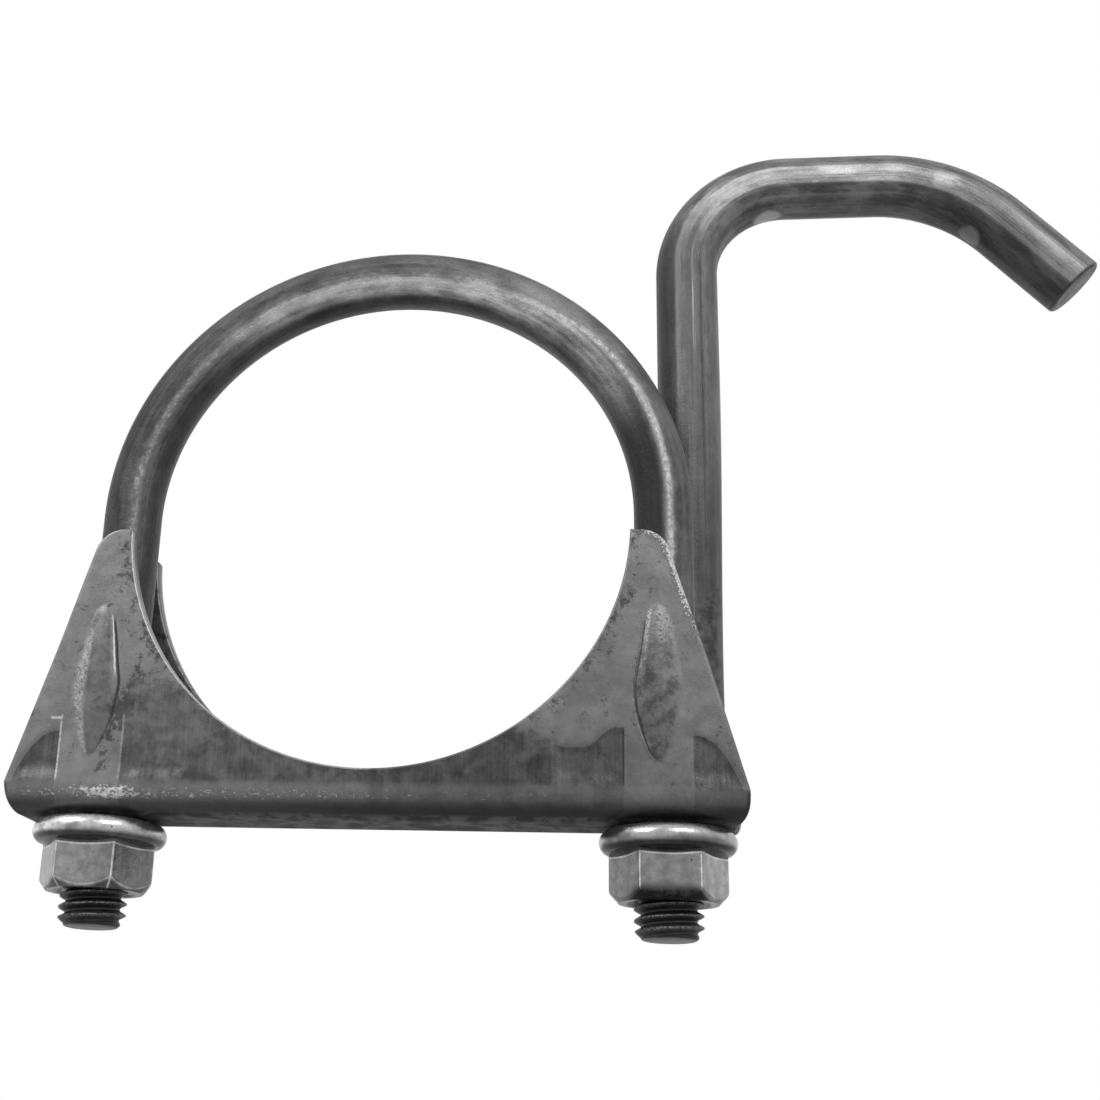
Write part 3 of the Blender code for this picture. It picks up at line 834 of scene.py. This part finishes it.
def leafMasks(paint):
    # the leaf's body, its crease on the pipe's side, the lip beside that, and its outer side
    along = (paint.z - saddle["leafZ"]) / saddle["leafHalfLength"]
    up = along.most(0)
    down = along.least(0)
    narrow = (1 - saddle["leafTaper"] * up) * (1 - up ** saddle["leafTopPower"]).most(0).root()
    narrow = narrow * (1 - down * down).most(0) ** saddle["leafFootPower"]
    wave = (paint.noise(0.6) - 0.5) * 0.25
    across = (paint.off - saddle["leafX"] + wave) / (saddle["leafHalfWidth"] * narrow).most(0.2)
    inside = abs(along).fall(0.93, 1)
    body = across.rise(-1, -0.85) * across.fall(0.55, 1.1) * inside
    crease = across.within(-1.02, -0.9, 0.05) * abs(along + 0.05).fall(0.8, 0.95)
    lip = across.within(-0.86, -0.76, 0.04) * along.within(0.1, 0.85, 0.1)
    return body, crease, lip, across.within(0.5, 0.95, 0.15) * inside


def plainSheet(paint):
    z = paint.z
    clouds = 0.78 + 0.2 * paint.cloud.rise(0.3, 0.66) + 0.22 * paint.patch.rise(0.34, 0.7)
    # clouds and grain at random, with the left half painted lighter as painted light from the left
    paint.colour = saddlePaint["plain"] * (clouds + 0.14 * paint.left) * (0.8 + 0.4 * paint.grain)
    # stains, thickest between the left leaf and the pipe's edge
    stainsAndShade = paint.noise(0.55, 6, 0.8, bend=0.25)
    aside = abs(paint.x - saddlePaint["stainX"] - (z + 28) * 0.3)
    beside = (aside + abs(z - saddlePaint["stainZ"]) * 0.25).fall(0.6, 3.6)
    stainsAndShade = stainsAndShade + beside * 0.16 + paint.edge.fall(0.6, 3.2) * 0.07
    paint.dim(0.62 * stainsAndShade.rise(0.57, 0.66))
    # painted light on the left horn's lower part, which is a little darker at its top; the right
    # horn is darker at its foot
    left = (0.05 - 0.08 * z.rise(-30, -20)) * paint.left
    right = 0.2 * z.fall(-36, -29) * paint.right
    paint.dim(right - left - 0.06 - 0.05 * z.rise(-26, -14))


def withLeaves(paint):
    z, wall = paint.z, paint.wall
    body, crease, lip, outer = leafMasks(paint)
    rubbed = paint.noise(0.5, 5, 0.7).rise(0.36, 0.62)
    wearAndSheen = saddlePaint["leaf"] * (0.35 + 0.9 * rubbed + 0.5 * paint.grain)
    paint.lay(wearAndSheen, body * (0.95 - 0.35 * paint.left) * wall)
    # the left leaf is lit along its outer side, the right one at its top
    side = outer * paint.left
    rim = side * z.fall(-20, -15) * (0.35 + 0.6 * paint.grain.rise(0.35, 0.6))
    paint.lay("leafRimHighlight", rim * paint.front)
    top = body * z.rise(-21, -16) * paint.right
    paint.lay("leafTopHighlight", top * 0.6 * wall)
    lit = (top + side * z.fall(-20, -14) * 1.2).least(1)
    lit = lit * paint.noise(2.6, 4, 0.75).rise(0.56, 0.66)
    paint.lay("leafGlint", lit * 0.7 * wall)
    # painted shade in the crease on the pipe's side, and a painted highlight on the lip beside it
    deep = 0.3 + 0.7 * paint.left * z.rise(-33, -28) + 0.5 * paint.right * z.fall(-25, -18)
    creaseShade = (crease * deep * (0.5 + 0.8 * paint.patch)).least(1)
    paint.lay("crease", creaseShade * wall)
    paint.lay("lip", lip * 0.7 * paint.left * paint.front)
    return crease, lip, lit


def withPress(paint):
    z = paint.z
    mask = pressMask(paint)
    streak = paint.noise(1, 4, 0.6, paint.stretched(2.4, 1, 0.09))
    thin = paint.noise(1, 3, 0.7, paint.stretched(7, 1, 0.2))
    tone = 0.5 + 0.3 * streak.rise(0.3, 0.7) + 0.8 * paint.patch.rise(0.3, 0.7)
    tone = (tone + 0.2 * thin.rise(0.4, 0.75)) * (0.7 + 0.6 * paint.grain)
    web = saddlePaint["web"] * tone * (1 - 0.25 * paint.right)
    rubbed = paint.noise(0.9, 5, 0.75, paint.stretched(1, 1, 0.45)).rise(0.56, 0.68)
    web = web.toward(saddlePaint["webRubbed"], rubbed * (0.35 + 0.65 * paint.left) * 0.6)
    paint.lay(web, mask)
    # painted highlights on the left strip's borders and its outer top ledge, painted shade in the
    # right one's notch
    strip = saddle["stripHalfWidth"]
    lines = abs(paint.off - saddle["leafX"]).within(strip - 0.28, strip - 0.02, 0.06)
    lines = lines * z.within(-39, saddle["pressTopZ"] + 1.3, 0.3) * paint.left
    lines = lines * (0.35 + 0.65 * paint.off.rise(38, 42))
    ledge = paint.x.within(-46.1, -44.6, 0.1) * z.within(-30.3, -29.9, 0.08)
    bright = lines.most(ledge) * paint.grain.rise(0.32, 0.58)
    paint.lay("pressEdgeHighlight", bright * paint.front)
    notch = abs(paint.x - saddlePaint["notchX"]).within(-1, 0.13, 0.04)
    notch = notch * z.within(-39, -31.2, 0.4)
    paint.lay("crease", notch * 0.7 * paint.front)
    return mask, streak


def withFolds(paint):
    z, patch = paint.z, paint.patch
    # painted shade on the fold's downward side and under the base, and a painted highlight along
    # the fold's top, stronger on the left
    down = (foldTopZ - z).rise(1, 3.7)
    lowest = (form["baseZ"] + 0.7 - z).rise(0, 0.5)
    shadeMottle = paint.noise(0.5, 5, 0.65, paint.stretched(0.5, 1, 1))
    dark = saddlePaint["foldShade"] * (1 - 0.4 * paint.x.rise(-25, 5)) * (0.65 + 0.7 * shadeMottle)
    dark = dark.toward(saddlePaint["foldShade"] * (0.7 + 1.6 * patch.rise(0.4, 0.6)), lowest)
    top = z.within(-41.7, -39.2, 0.7) * (0.6 + 0.5 * paint.left)
    lit = saddlePaint["foldLit"] * (0.55 + 0.5 * paint.grain + 0.4 * patch)
    paint.lay(lit, top * 0.7)
    paint.lay(dark, down)
    # painted glints along the fold, thickest over the left nut
    dense = abs(paint.x - saddlePaint["glitterX"]).fall(0, 8) * 0.15
    dense = dense + paint.x.fall(-20, 30) * 0.09
    middle = abs(z - saddlePaint["glitterZ"]).fall(0.2, 1.3)
    sparks = paint.noise(1.6, 5, 0.8, paint.stretched(0.8, 1, 1.3)) + dense + 0.12 * middle
    sparks = sparks.rise(0.73, 0.86) * middle.rise(0, 0.3)
    paint.lay("foldGlints", sparks * 0.85)
    return lowest, sparks


def withEdges(paint):
    x, z, edge = paint.off, paint.z, paint.edge
    # a painted highlight along the pipe's edge, bright on the left and dull on the right; then the
    # sheet's cut face
    rim = edge.fall(0.1, 0.34) * abs(paint.y).rise(6.9, 7.3)
    bright = saddlePaint["edge"] * (0.25 + 1.1 * paint.grain)
    bright = bright * paint.left + saddlePaint["rightEdge"] * paint.right
    paint.lay(bright, rim * (0.5 + 0.5 * paint.fine))
    paint.lay("cutFace", edge.fall(-0.1, 0.12) * (1 - rim))
    # painted glints on burrs along the right horn's outer edge, up to its tip
    side = (foldEndX - x) * edgeNormal[0] + (foldTopZ - z) * edgeNormal[1]
    fromTip = (x - tipX) ** 2 + (z - tipZ) ** 2
    onTip = z.rise(tipZ - 0.4, tipZ + 0.4)
    gap = side.toward(side.least(tipRadius - fromTip.root()), onTip)
    worked = gap.fall(0.3, 1.9) * paint.right * z.rise(-24, -8) * x.rise(36.5, 39.5)
    worked = worked * paint.front
    burrGlints = (worked * 0.3 + paint.noise(2.8, 4, 0.75)).rise(0.62, 0.75) * worked.rise(0, 0.4)
    paint.lay("burrGlints", burrGlints * 0.85)
    end = x.rise(51.2, 51.9) * (foldTopZ - z).rise(0, 0.6)
    paint.lay("foldEnd", end * 0.85)
    return burrGlints


def saddleFinish():
    paint = SaddlePaint()
    plainSheet(paint)
    crease, lip, lit = withLeaves(paint)
    mask, streak = withPress(paint)
    lowest, sparks = withFolds(paint)
    burrGlints = withEdges(paint)
    rough = saddlePaint["roughness"] + 0.4 * lowest - 0.06 * mask + 0.22 * (paint.cloud - 0.5)
    rough = rough + 0.16 * (paint.patch - 0.5) + 0.1 * (paint.fine - 0.5)
    height = paint.grain * 0.45 + paint.fine * 0.3 + streak * 0.3 * mask - crease * 1.2 + lip * 0.4
    normal = paint.bump(height, 0.08)
    flakes = paint.noise(3.4, 3, 0.7) * (sparks + lit + burrGlints * 2).least(1)
    normal = paint.bump(flakes, 0.3, normal)
    return paint.finished(rough, 0.85, normal)


barPaint = {
    "bolt": 0.105, "rod": 0.115, "dark": 0.022, "light": 0.3, "highlightLine": 0.26,
    "highlightFlash": 0.5, "highlightCore": 0.42, "bowTopHighlight": 0.42, "bowPale": 0.19, "thread": 0.034,
    "crest": 0.22, "legEnd": 0.16, "rodTopHighlight": 0.22, "firstBend": 0.42, "secondBend": 0.2,
    "runEnd": 0.36, "foot": 0.3, "sawn": 0.06, "roughness": 0.38,
}


def bowPlace(paint):
    # outward distance from the bar's middle line, length along it and angle from the top
    across = paint.x - form["boltShift"]
    above = (paint.z - form["bowLift"]).most(0)
    out = (across * across + above * above).root() - form["boltX"]
    turn = across.angle(above.most(0.001))
    along = turn * form["boltX"] + (paint.z - form["bowLift"]).least(0)
    return out, along, turn


def rodPlace(paint):
    # outward distance from the rod's middle line, height and then length along it, sawn end
    x, z = paint.x, paint.z
    bendX = rod["x"] + rod["bendRadius"]
    bendZ = rod["runZ"] - rod["bendRadius"]
    left = (x - bendX).least(0)
    above = (z - bendZ).most(0)
    out = (left * left + above * above).root() - rod["bendRadius"]
    turn = above.most(0.001).angle(-left)
    along = (z - bendZ).least(0) * (1 - x.over(bendX)) + turn * rod["bendRadius"]
    along = along + (x - bendX).most(0) + bendZ
    tip = radians(rod["tipAngle"])
    right = x - rod["tipBendX"]
    high = z - (rod["runZ"] - rod["tipBendRadius"])
    outward = right * sin(tip) + high * cos(tip)
    forward = right * cos(tip) - high * sin(tip)
    behind = forward.least(0)
    tipOut = (outward * outward + behind * behind).root() - rod["tipBendRadius"]
    # measured along the tip's line, the rod's foot lies past the end too and takes its finish
    sawn = forward.rise(rod["tipLength"] - 0.25, rod["tipLength"] - 0.05)
    return out.toward(tipOut, right.over(0)), along, sawn


def barCoat(paint, base, out, deep, along):
    # oxide that follows the bar: wide and thin streaks, blotches and rubbed spots
    wide = paint.noise(0.62, 3, 0.5, paint.joined(out, deep, along * 0.035))
    thin = paint.noise(2.4, 3, 0.6, paint.joined(out, deep, along * 0.03))
    half = paint.joined(out, deep, along * 0.5)
    blotch = paint.noise(0.3, 5, 0.65, half)
    fine = paint.noise(3.5, 4, 0.7)
    bands = wide.rise(0.4, 0.6)
    tone = 0.35 + 0.4 * bands + 0.4 * thin + 0.7 * blotch.rise(0.36, 0.66)
    paint.colour = paint.tones[base] * tone * (0.75 + 0.5 * fine)
    flaky = paint.noise(1, 6, 0.75, paint.joined(out * 1.3, deep * 1.3, along * 0.35))
    flaky = (flaky + 0.1 * (1 - bands)).rise(0.6, 0.72)
    paint.lay("dark", flaky * 0.4)
    rubbed = paint.noise(1.6, 5, 0.75, half).rise(0.6, 0.7)
    return bands, thin, blotch, fine, rubbed


def bowTone(paint, out, middle, turn, front):
    # painted light on the inner side over the top, painted shade outside the highlight line and
    # down the limbs
    overTop = turn.within(-0.7, 1.2, 0.3)
    paint.dim(-3.2 * overTop * out.fall(-2.5, 0.5) * front)
    outside = 0.42 - 0.2 * turn.rise(0.1, 0.6) - 0.12 * overTop
    paint.dim(outside * (out - middle).rise(0.3, 1.6))
    paint.dim(0.25 * (-turn).within(0.2, 1.8, 0.2))
    shade = (middle - out).rise(0.5, 1.8) * turn.rise(0.35, 0.8) * front
    paint.dim(0.62 * shade)


def bowLine(paint, out, middle, along, turn, front, blotch, fine):
    # the painted highlight line itself: broken, with its painted sparks and a thin bright core
    highlightLine = front * (out - middle).within(-0.5, 0.5, 0.4)
    specks = paint.noise(1.6, 5, 0.8, paint.joined(out, paint.y, along * 0.6))
    wearAndSheen = barPaint["highlightLine"] * (0.6 + 0.8 * blotch)
    paint.lay(wearAndSheen, highlightLine * (0.15 + 0.5 * specks.rise(0.35, 0.65)))
    sparks = highlightLine * specks.rise(0.54, 0.7) * fine.rise(0.4, 0.6)
    paint.lay("highlightFlash", sparks * 0.9)
    highlightCore = front * (out - middle).within(-0.3, 0.3, 0.35) * specks.rise(0.36, 0.64)
    highlightCore = highlightCore * (0.25 + 0.45 * turn.rise(-0.5, 0.3))
    paint.lay("highlightCore", highlightCore * (0.5 + blotch.rise(0.35, 0.6)).least(1))


def threadCoat(paint, blotch, fine):
    reach = (abs(paint.x - form["boltShift"]) - form["boltX"]) ** 2 + paint.y * paint.y
    # painted glints on the thread's crests
    crest = reach.root().rise(4.3, 4.65) * fine.rise(0.42, 0.6)
    wearAndSheen = barPaint["thread"] * (0.5 + blotch)
    wearAndSheen = wearAndSheen.toward(barPaint["crest"], crest * 0.7)
    ends = (bolt["legEndZ"] + 0.1 - paint.z).rise(0, 0.15)
    return wearAndSheen.toward(barPaint["legEnd"] * (0.3 + blotch + fine * 0.6), ends)


def boltFinish():
    paint = Paint("boltSteel", barPaint)
    out, along, turn = bowPlace(paint)
    bands, thin, blotch, fine, rubbed = barCoat(paint, "bolt", out, paint.y, along)
    front = paint.y.fall(-3.4, -1.5)
    # painted highlight line, which wanders from the bar's inner side on top to the outer side of
    # the limbs
    middle = 2.9 * turn.rise(0.1, 1.1) + 0.6 * (-turn).rise(0.3, 1.2) - 2.1
    middle = middle + (blotch - 0.5) * 1.4
    bowTone(paint, out, middle, turn, front)
    bowLine(paint, out, middle, along, turn, front, blotch, fine)
    # painted highlight patches on the front, and painted shade down the left limb
    paint.lay("light", rubbed * front * out.within(-2.8, 1.2, 0.8) * 0.25)
    paint.dim(0.25 * (-turn).rise(0.6, 1.2))
    pale = markOn(paint, "bowPale", 0.7) * (0.3 + 0.7 * blotch)
    paint.lay("bowPale", pale)
    # a painted highlight on the bow's top
    paint.lay("bowTopHighlight", markOn(paint, "bowTopHighlight", 0.6) * rubbed.most(0.35))
    # the inner side is nearly black down the right limb, and dark all round
    inner = (-out).rise(-0.6, 1) * (turn + (blotch - 0.5) * 0.3).rise(1, 1.3)
    paint.lay(barPaint["dark"] * 0.6, inner * 0.85)
    paint.lay("dark", (-out).rise(2.6, 3.8) * 0.35)
    threads = (bolt["threadTopZ"] - paint.z).rise(-0.5, 1)
    paint.lay(threadCoat(paint, blotch, fine), threads)
    rough = barPaint["roughness"] + 0.26 * blotch - 0.08 * bands - 0.04 * threads
    mottle = paint.noise(1.1, 5, 0.7)
    normal = paint.bump(thin * 0.5 + fine * 0.4 + rubbed * 0.4 + mottle * 1.2, 0.12)
    return paint.finished(rough, 0.85, normal)


def rodTone(paint, out, along, front, thin, blotch, fine, rubbed):
    # flats left by drawing, in painted light: a lighter one in the middle of the front and a
    # painted highlight line at its edge
    upright = along.fall(50, 66)
    flat = out.within(-2.2, 1.9, 0.15) * front
    paint.dim(flat * (1.35 * upright - 1.2))
    paint.lay(barPaint["rod"] * 1.05, upright * front * 0.45)
    line = out.within(-1.3, -0.75, 0.12) * front * along.rise(20, 45)
    bright = 0.1 + 0.7 * rubbed.most(thin.rise(0.45, 0.6))
    paint.lay("light", line * bright)
    # a painted highlight along the top of the run
    upper = out.within(1.7, 4.4, 0.4) * front * along.rise(52, 66)
    wearAndSheen = barPaint["rodTopHighlight"] * (0.25 + 1.1 * blotch) * (0.7 + 0.6 * fine)
    paint.lay(wearAndSheen, upper * (0.2 + 0.8 * blotch.rise(0.4, 0.6)) * 0.8)
    dull = out.within(0.9, 1.9, 0.15) * front * along.rise(60, 70)
    paint.lay(barPaint["dark"] * 1.6, dull * (0.5 + 0.4 * rubbed))
    # the upright is dark on its left and lit on its right
    left = out.rise(1.6, 2.2) * upright
    right = (-out).rise(2.3, 2.8) * upright
    paint.dim(0.62 * left)
    paint.dim(0.28 * upright)
    paint.dim(0.2 * along.fall(-10, 25))
    paint.dim(-0.75 * right * along.rise(0, 30))
    paint.dim(0.45 * along.rise(94, 104) * out.fall(0.4, 1.4))
    return flat


def rodFinish():
    paint = Paint("rodSteel", barPaint)
    deep = paint.y - rod["y"]
    out, along, sawn = rodPlace(paint)
    bands, thin, blotch, fine, rubbed = barCoat(paint, "rod", out, deep, along)
    front = deep.fall(-2.5, -0.5)
    flat = rodTone(paint, out, along, front, thin, blotch, fine, rubbed)
    # marks of the bending tool on the rod's underside
    under = (-out).rise(2.6, 3.4)
    first = markOn(paint, "firstBend", 0.25, deep - 0.1)
    second = markOn(paint, "secondBend", 0.25, deep + 0.5) * paint.x.rise(80, 82)
    paint.lay("firstBend", first * 0.85 * under)
    paint.lay("secondBend", second * 0.8 * under)
    runEnd = markOn(paint, "runEnd", 0.7) * (0.15 + 0.85 * blotch.rise(0.42, 0.55))
    paint.lay("runEnd", runEnd * front)
    foot = markOn(paint, "foot", 0.8) * (0.2 + rubbed * 0.6)
    paint.lay("foot", foot * front)
    rust = 0.4 + 0.9 * paint.noise(0.5, 5, 0.7).rise(0.35, 0.65) + 0.6 * fine
    paint.lay(barPaint["sawn"] * rust, sawn)
    rough = barPaint["roughness"] + 0.22 * blotch - 0.06 * bands
    mottle = paint.noise(1.1, 5, 0.7)
    normal = paint.bump(thin * 0.5 + fine * 0.4 + flat * 0.35 + mottle * 0.9, 0.1)
    return paint.finished(rough, 0.85, normal)


nutPaint = {
    "zinc": 0.25, "rim": 0.42, "darkReflection": 0.06, "groove": 0.02, "foot": 0.015, "line": 0.75,
    "pit": 0.03, "lineWidth": 0.12, "lineSoft": 0.06,
    "hexTopZ": -4.05,  # where the hexagon starts, in the middle of its flats
    # strength of the painted highlight on each nut's chamfer edge and of the painted shadow in its
    # groove
    "chamferShare": {-1: 0.6, 1: 0.1}, "grooveShare": {-1: 0.7, 1: 0.9},
}


def nutLines(z, side, reach, off, flat, cone, blotch):
    # bright edges as painted highlights: the corners, the chamfer's edge and the hexagon's
    # scalloped top
    width, soft = nutPaint["lineWidth"], nutPaint["lineSoft"]
    corner = (reach * (pi / 6 - off)).within(-1, width, soft) * (-z).rise(3.9, 4.1)
    chamfer = (abs(cone - flat) / coneSlope).within(-1, width, soft)
    top = abs(z - nutPaint["hexTopZ"] - off * off).within(-1, width, soft)
    lines = corner.most((chamfer * nutPaint["chamferShare"][side]).most(top * 0.7))
    return lines * (blotch * 2.4 - 0.5).most(0.1).least(1)


def nutFinish(name, side, turn):
    paint = Paint(name, nutPaint)
    onRight = side > 0
    across = paint.x - legX(side)
    z = paint.z - form["nutSeatZ"]
    cloud = paint.noise(0.22, 4, 0.6)
    blotch = paint.noise(0.7, 5, 0.65)
    fine = paint.noise(3, 4, 0.7)
    reach = (across * across + paint.y * paint.y).root()
    # angle from the middle of the nearest flat, and the radius there of the flat and the chamfer
    sixth = paint.y.angle(across) - turn + 6 * pi
    off = abs(sixth % (pi / 3) - pi / 6)
    flat = nut["flats"] / 2 / off.cosine()
    cone = nut["chamferRadius"] + (z + nut["height"]) * coneSlope
    body = reach.fall(8.3, 8.45)
    clouds = 0.62 + 0.35 * cloud + 0.4 * blotch.rise(0.35, 0.65)
    paint.colour = nutPaint["zinc"] * clouds * (0.9 + 0.2 * fine)
    # painted highlight on the flange's rim, most on the left nut's left
    rim = z.rise(-2.7, -2) * (0.6 + 0.4 * blotch.rise(0.36, 0.6))
    shine = 0.95 if onRight else 1.3 + 0.9 * across.fall(-8, 2)
    paint.lay(nutPaint["rim"] * shine, rim * 0.85)
    # painted dark reflections round the flange's rim and hollow
    darkReflection = paint.noise(0.24, 2, 0.5, paint.stretched(0.8, 0.8, 1.6)).rise(0.46, 0.62)
    paint.lay("darkReflection", darkReflection * (-z).within(0.6, 3.4, 0.5) * 0.6)
    # the flats that face away from the light
    shade = 0.22 - 0.4 * across.rise(2, 6) if onRight else 0.3 * across.rise(-3, 6)
    paint.dim(shade * (-z).rise(3.4, 4.2))
    # shadow in the hollow between flange and hexagon
    begin = 2 - 0.5 * abs(across).fall(2, 6) if onRight else 2
    groove = (z - nutPaint["hexTopZ"] - off * off).rise(-0.05, 0.15)
    groove = groove * (-z - begin).rise(0, 0.8)
    groove = groove * reach.fall(9.2, 9.5) * nutPaint["grooveShare"][side]
    paint.lay(nutPaint["groove"] * (0.6 + blotch), groove)
    dull = 0.6
    if onRight:
        # a painted dark reflection on the right nut's lower chamfer
        stainsAndShade = (-z).rise(7.4, 9.2) * abs(across + 0.5).fall(3.5, 6)
        paint.dim(0.96 * stainsAndShade * (0.75 + 0.25 * blotch.rise(0.35, 0.6)))
        dull = 0.95 * (1 - 0.5 * abs(across).rise(4, 6.5))
    # painted dark reflection on the chamfer below the flats
    foot = (flat - cone).rise(0.1, 0.5) * body
    paint.lay(nutPaint["foot"] * (0.3 + 1.4 * blotch), foot * dull)
    lines = nutLines(z, side, reach, off, flat, cone, blotch) * body
    paint.lay("line", lines * (0.8 * z.rise(-9, -8) if onRight else 0.8))
    pits = paint.cells(0.8).fall(0.04, 0.12) * paint.noise(0.35).rise(0.5, 0.58)
    paint.lay("pit", pits * 0.9)
    rough = 0.13 + 0.16 * cloud + 0.1 * blotch
    normal = paint.bump(fine * 0.2 + blotch * 0.8 - pits * 1.5, 0.08)
    return paint.finished(rough, 0.95, normal)


def weldFinish():
    paint = Paint("weldSteel")
    cloud = paint.noise(0.8, 5, 0.65)
    fine = paint.noise(4, 4, 0.7)
    paint.colour = 0.08 * (0.4 + 1.2 * cloud)
    return paint.finished(0.45 + 0.3 * cloud, 0.85, paint.bump(fine, 0.15))


makeSaddle(saddleFinish())
print("saddle made")
makeBolt(boltFinish())
print("bolt made")
for name, side, turn in (("left", -1, radians(3.5)), ("right", 1, 0)):
    zinc = nutFinish(name + "Zinc", side, turn)
    makeNut(name + "Nut", side, turn, zinc, name + "_nut", name + "_flange_nut")
print("nuts made")
makeRod(rodFinish())
weld = weldFinish()
makeBead("upperBead", *bead["upper"], weld, "upper_weld")
makeBead("lowerBead", *bead["lower"], weld, "lower_weld")
print("rod and weld made")


# floor, light and camera

stand = {
    "floorZ": -0.105, "floorHalf": 0.6, "floorColour": 0.62, "worldForMatter": 0.62,
    # place, width and height of the lamp, power
    "keyLamp": ((0.3, -0.5, 0.4), (0.35, 0.3), 1.7),
    "fillLamp": ((-0.4, -0.4, 0.45), (0.3, 0.3), 2.5),
}


def makeFloor():
    paint = Paint("paleFloor")
    paint.colour = stand["floorColour"] * (0.98 + 0.04 * paint.noise(0.05))
    material = paint.finished(0.7, 0)
    bm = bmesh.new()
    bmesh.ops.create_grid(bm, x_segments=4, y_segments=4, size=stand["floorHalf"])
    mesh = bpy.data.meshes.new("floor")
    bm.to_mesh(mesh)
    bm.free()
    mesh.materials.append(material)
    floor = bpy.data.objects.new("floor", mesh)
    floor.location = (0, 0, stand["floorZ"])
    bpy.context.scene.collection.objects.link(floor)


def makeWorld():
    world = bpy.data.worlds.new("studio")
    world.use_nodes = True
    bpy.context.scene.world = world
    tree = world.node_tree
    tree.nodes.clear()
    path = tree.nodes.new("ShaderNodeLightPath")
    # the camera and reflections see plain white, and rough surfaces get less light
    seen = Wire(tree, path.outputs["Is Camera Ray"])
    for ray in ("Is Glossy Ray", "Is Transmission Ray"):
        seen = seen.most(Wire(tree, path.outputs[ray]))
    strength = stand["worldForMatter"] + (1 - stand["worldForMatter"]) * seen
    back = tree.nodes.new("ShaderNodeBackground")
    back.inputs["Color"].default_value = (1, 1, 1, 1)
    join(tree, strength, back.inputs["Strength"])
    out = tree.nodes.new("ShaderNodeOutputWorld")
    tree.links.new(back.outputs[0], out.inputs["Surface"])


def addLamp(name):
    place, size, power = stand[name]
    light = bpy.data.lights.new(name, "AREA")
    light.shape = "RECTANGLE"
    light.size, light.size_y = size
    light.energy = power
    lamp = bpy.data.objects.new(name, light)
    lamp.location = place
    lamp.rotation_mode = "QUATERNION"
    lamp.rotation_quaternion = (-Vector(place)).to_track_quat("-Z", "Y")
    bpy.context.scene.collection.objects.link(lamp)


lens = {
    "place": (32.8977, -205.7446, -78.6555),
    "yaw": -0.1179, "pitch": 0.3155, "roll": 0.0354, "focal": 1472.64, "axisX": 440.84,
    "axisY": 607.28, "photoSize": 1100, "sensor": 36,
}


def makeCamera():
    yaw, pitch, roll = lens["yaw"], lens["pitch"], lens["roll"]
    flat = cos(pitch)
    ahead = Vector((sin(yaw) * flat, cos(yaw) * flat, sin(pitch)))
    level = Vector((cos(yaw), -sin(yaw), 0))
    upward = level.cross(ahead)
    right = level * cos(roll) + upward * sin(roll)
    up = upward * cos(roll) - level * sin(roll)
    data = bpy.data.cameras.new("photoCamera")
    size = lens["photoSize"]
    data.sensor_width = lens["sensor"]
    data.lens = lens["focal"] / size * lens["sensor"]
    data.shift_x = (size / 2 - lens["axisX"]) / size
    data.shift_y = (lens["axisY"] - size / 2) / size
    data.clip_start = 0.01
    camera = bpy.data.objects.new("photoCamera", data)
    turn = Matrix((right, up, -ahead)).transposed().to_4x4()
    camera.matrix_world = Matrix.Translation(Vector(lens["place"]) * mm) @ turn
    bpy.context.scene.collection.objects.link(camera)
    bpy.context.scene.camera = camera


makeFloor()
makeWorld()
addLamp("keyLamp")
addLamp("fillLamp")
makeCamera()
bpy.context.scene.view_settings.view_transform = "Standard"
print("scene ready")
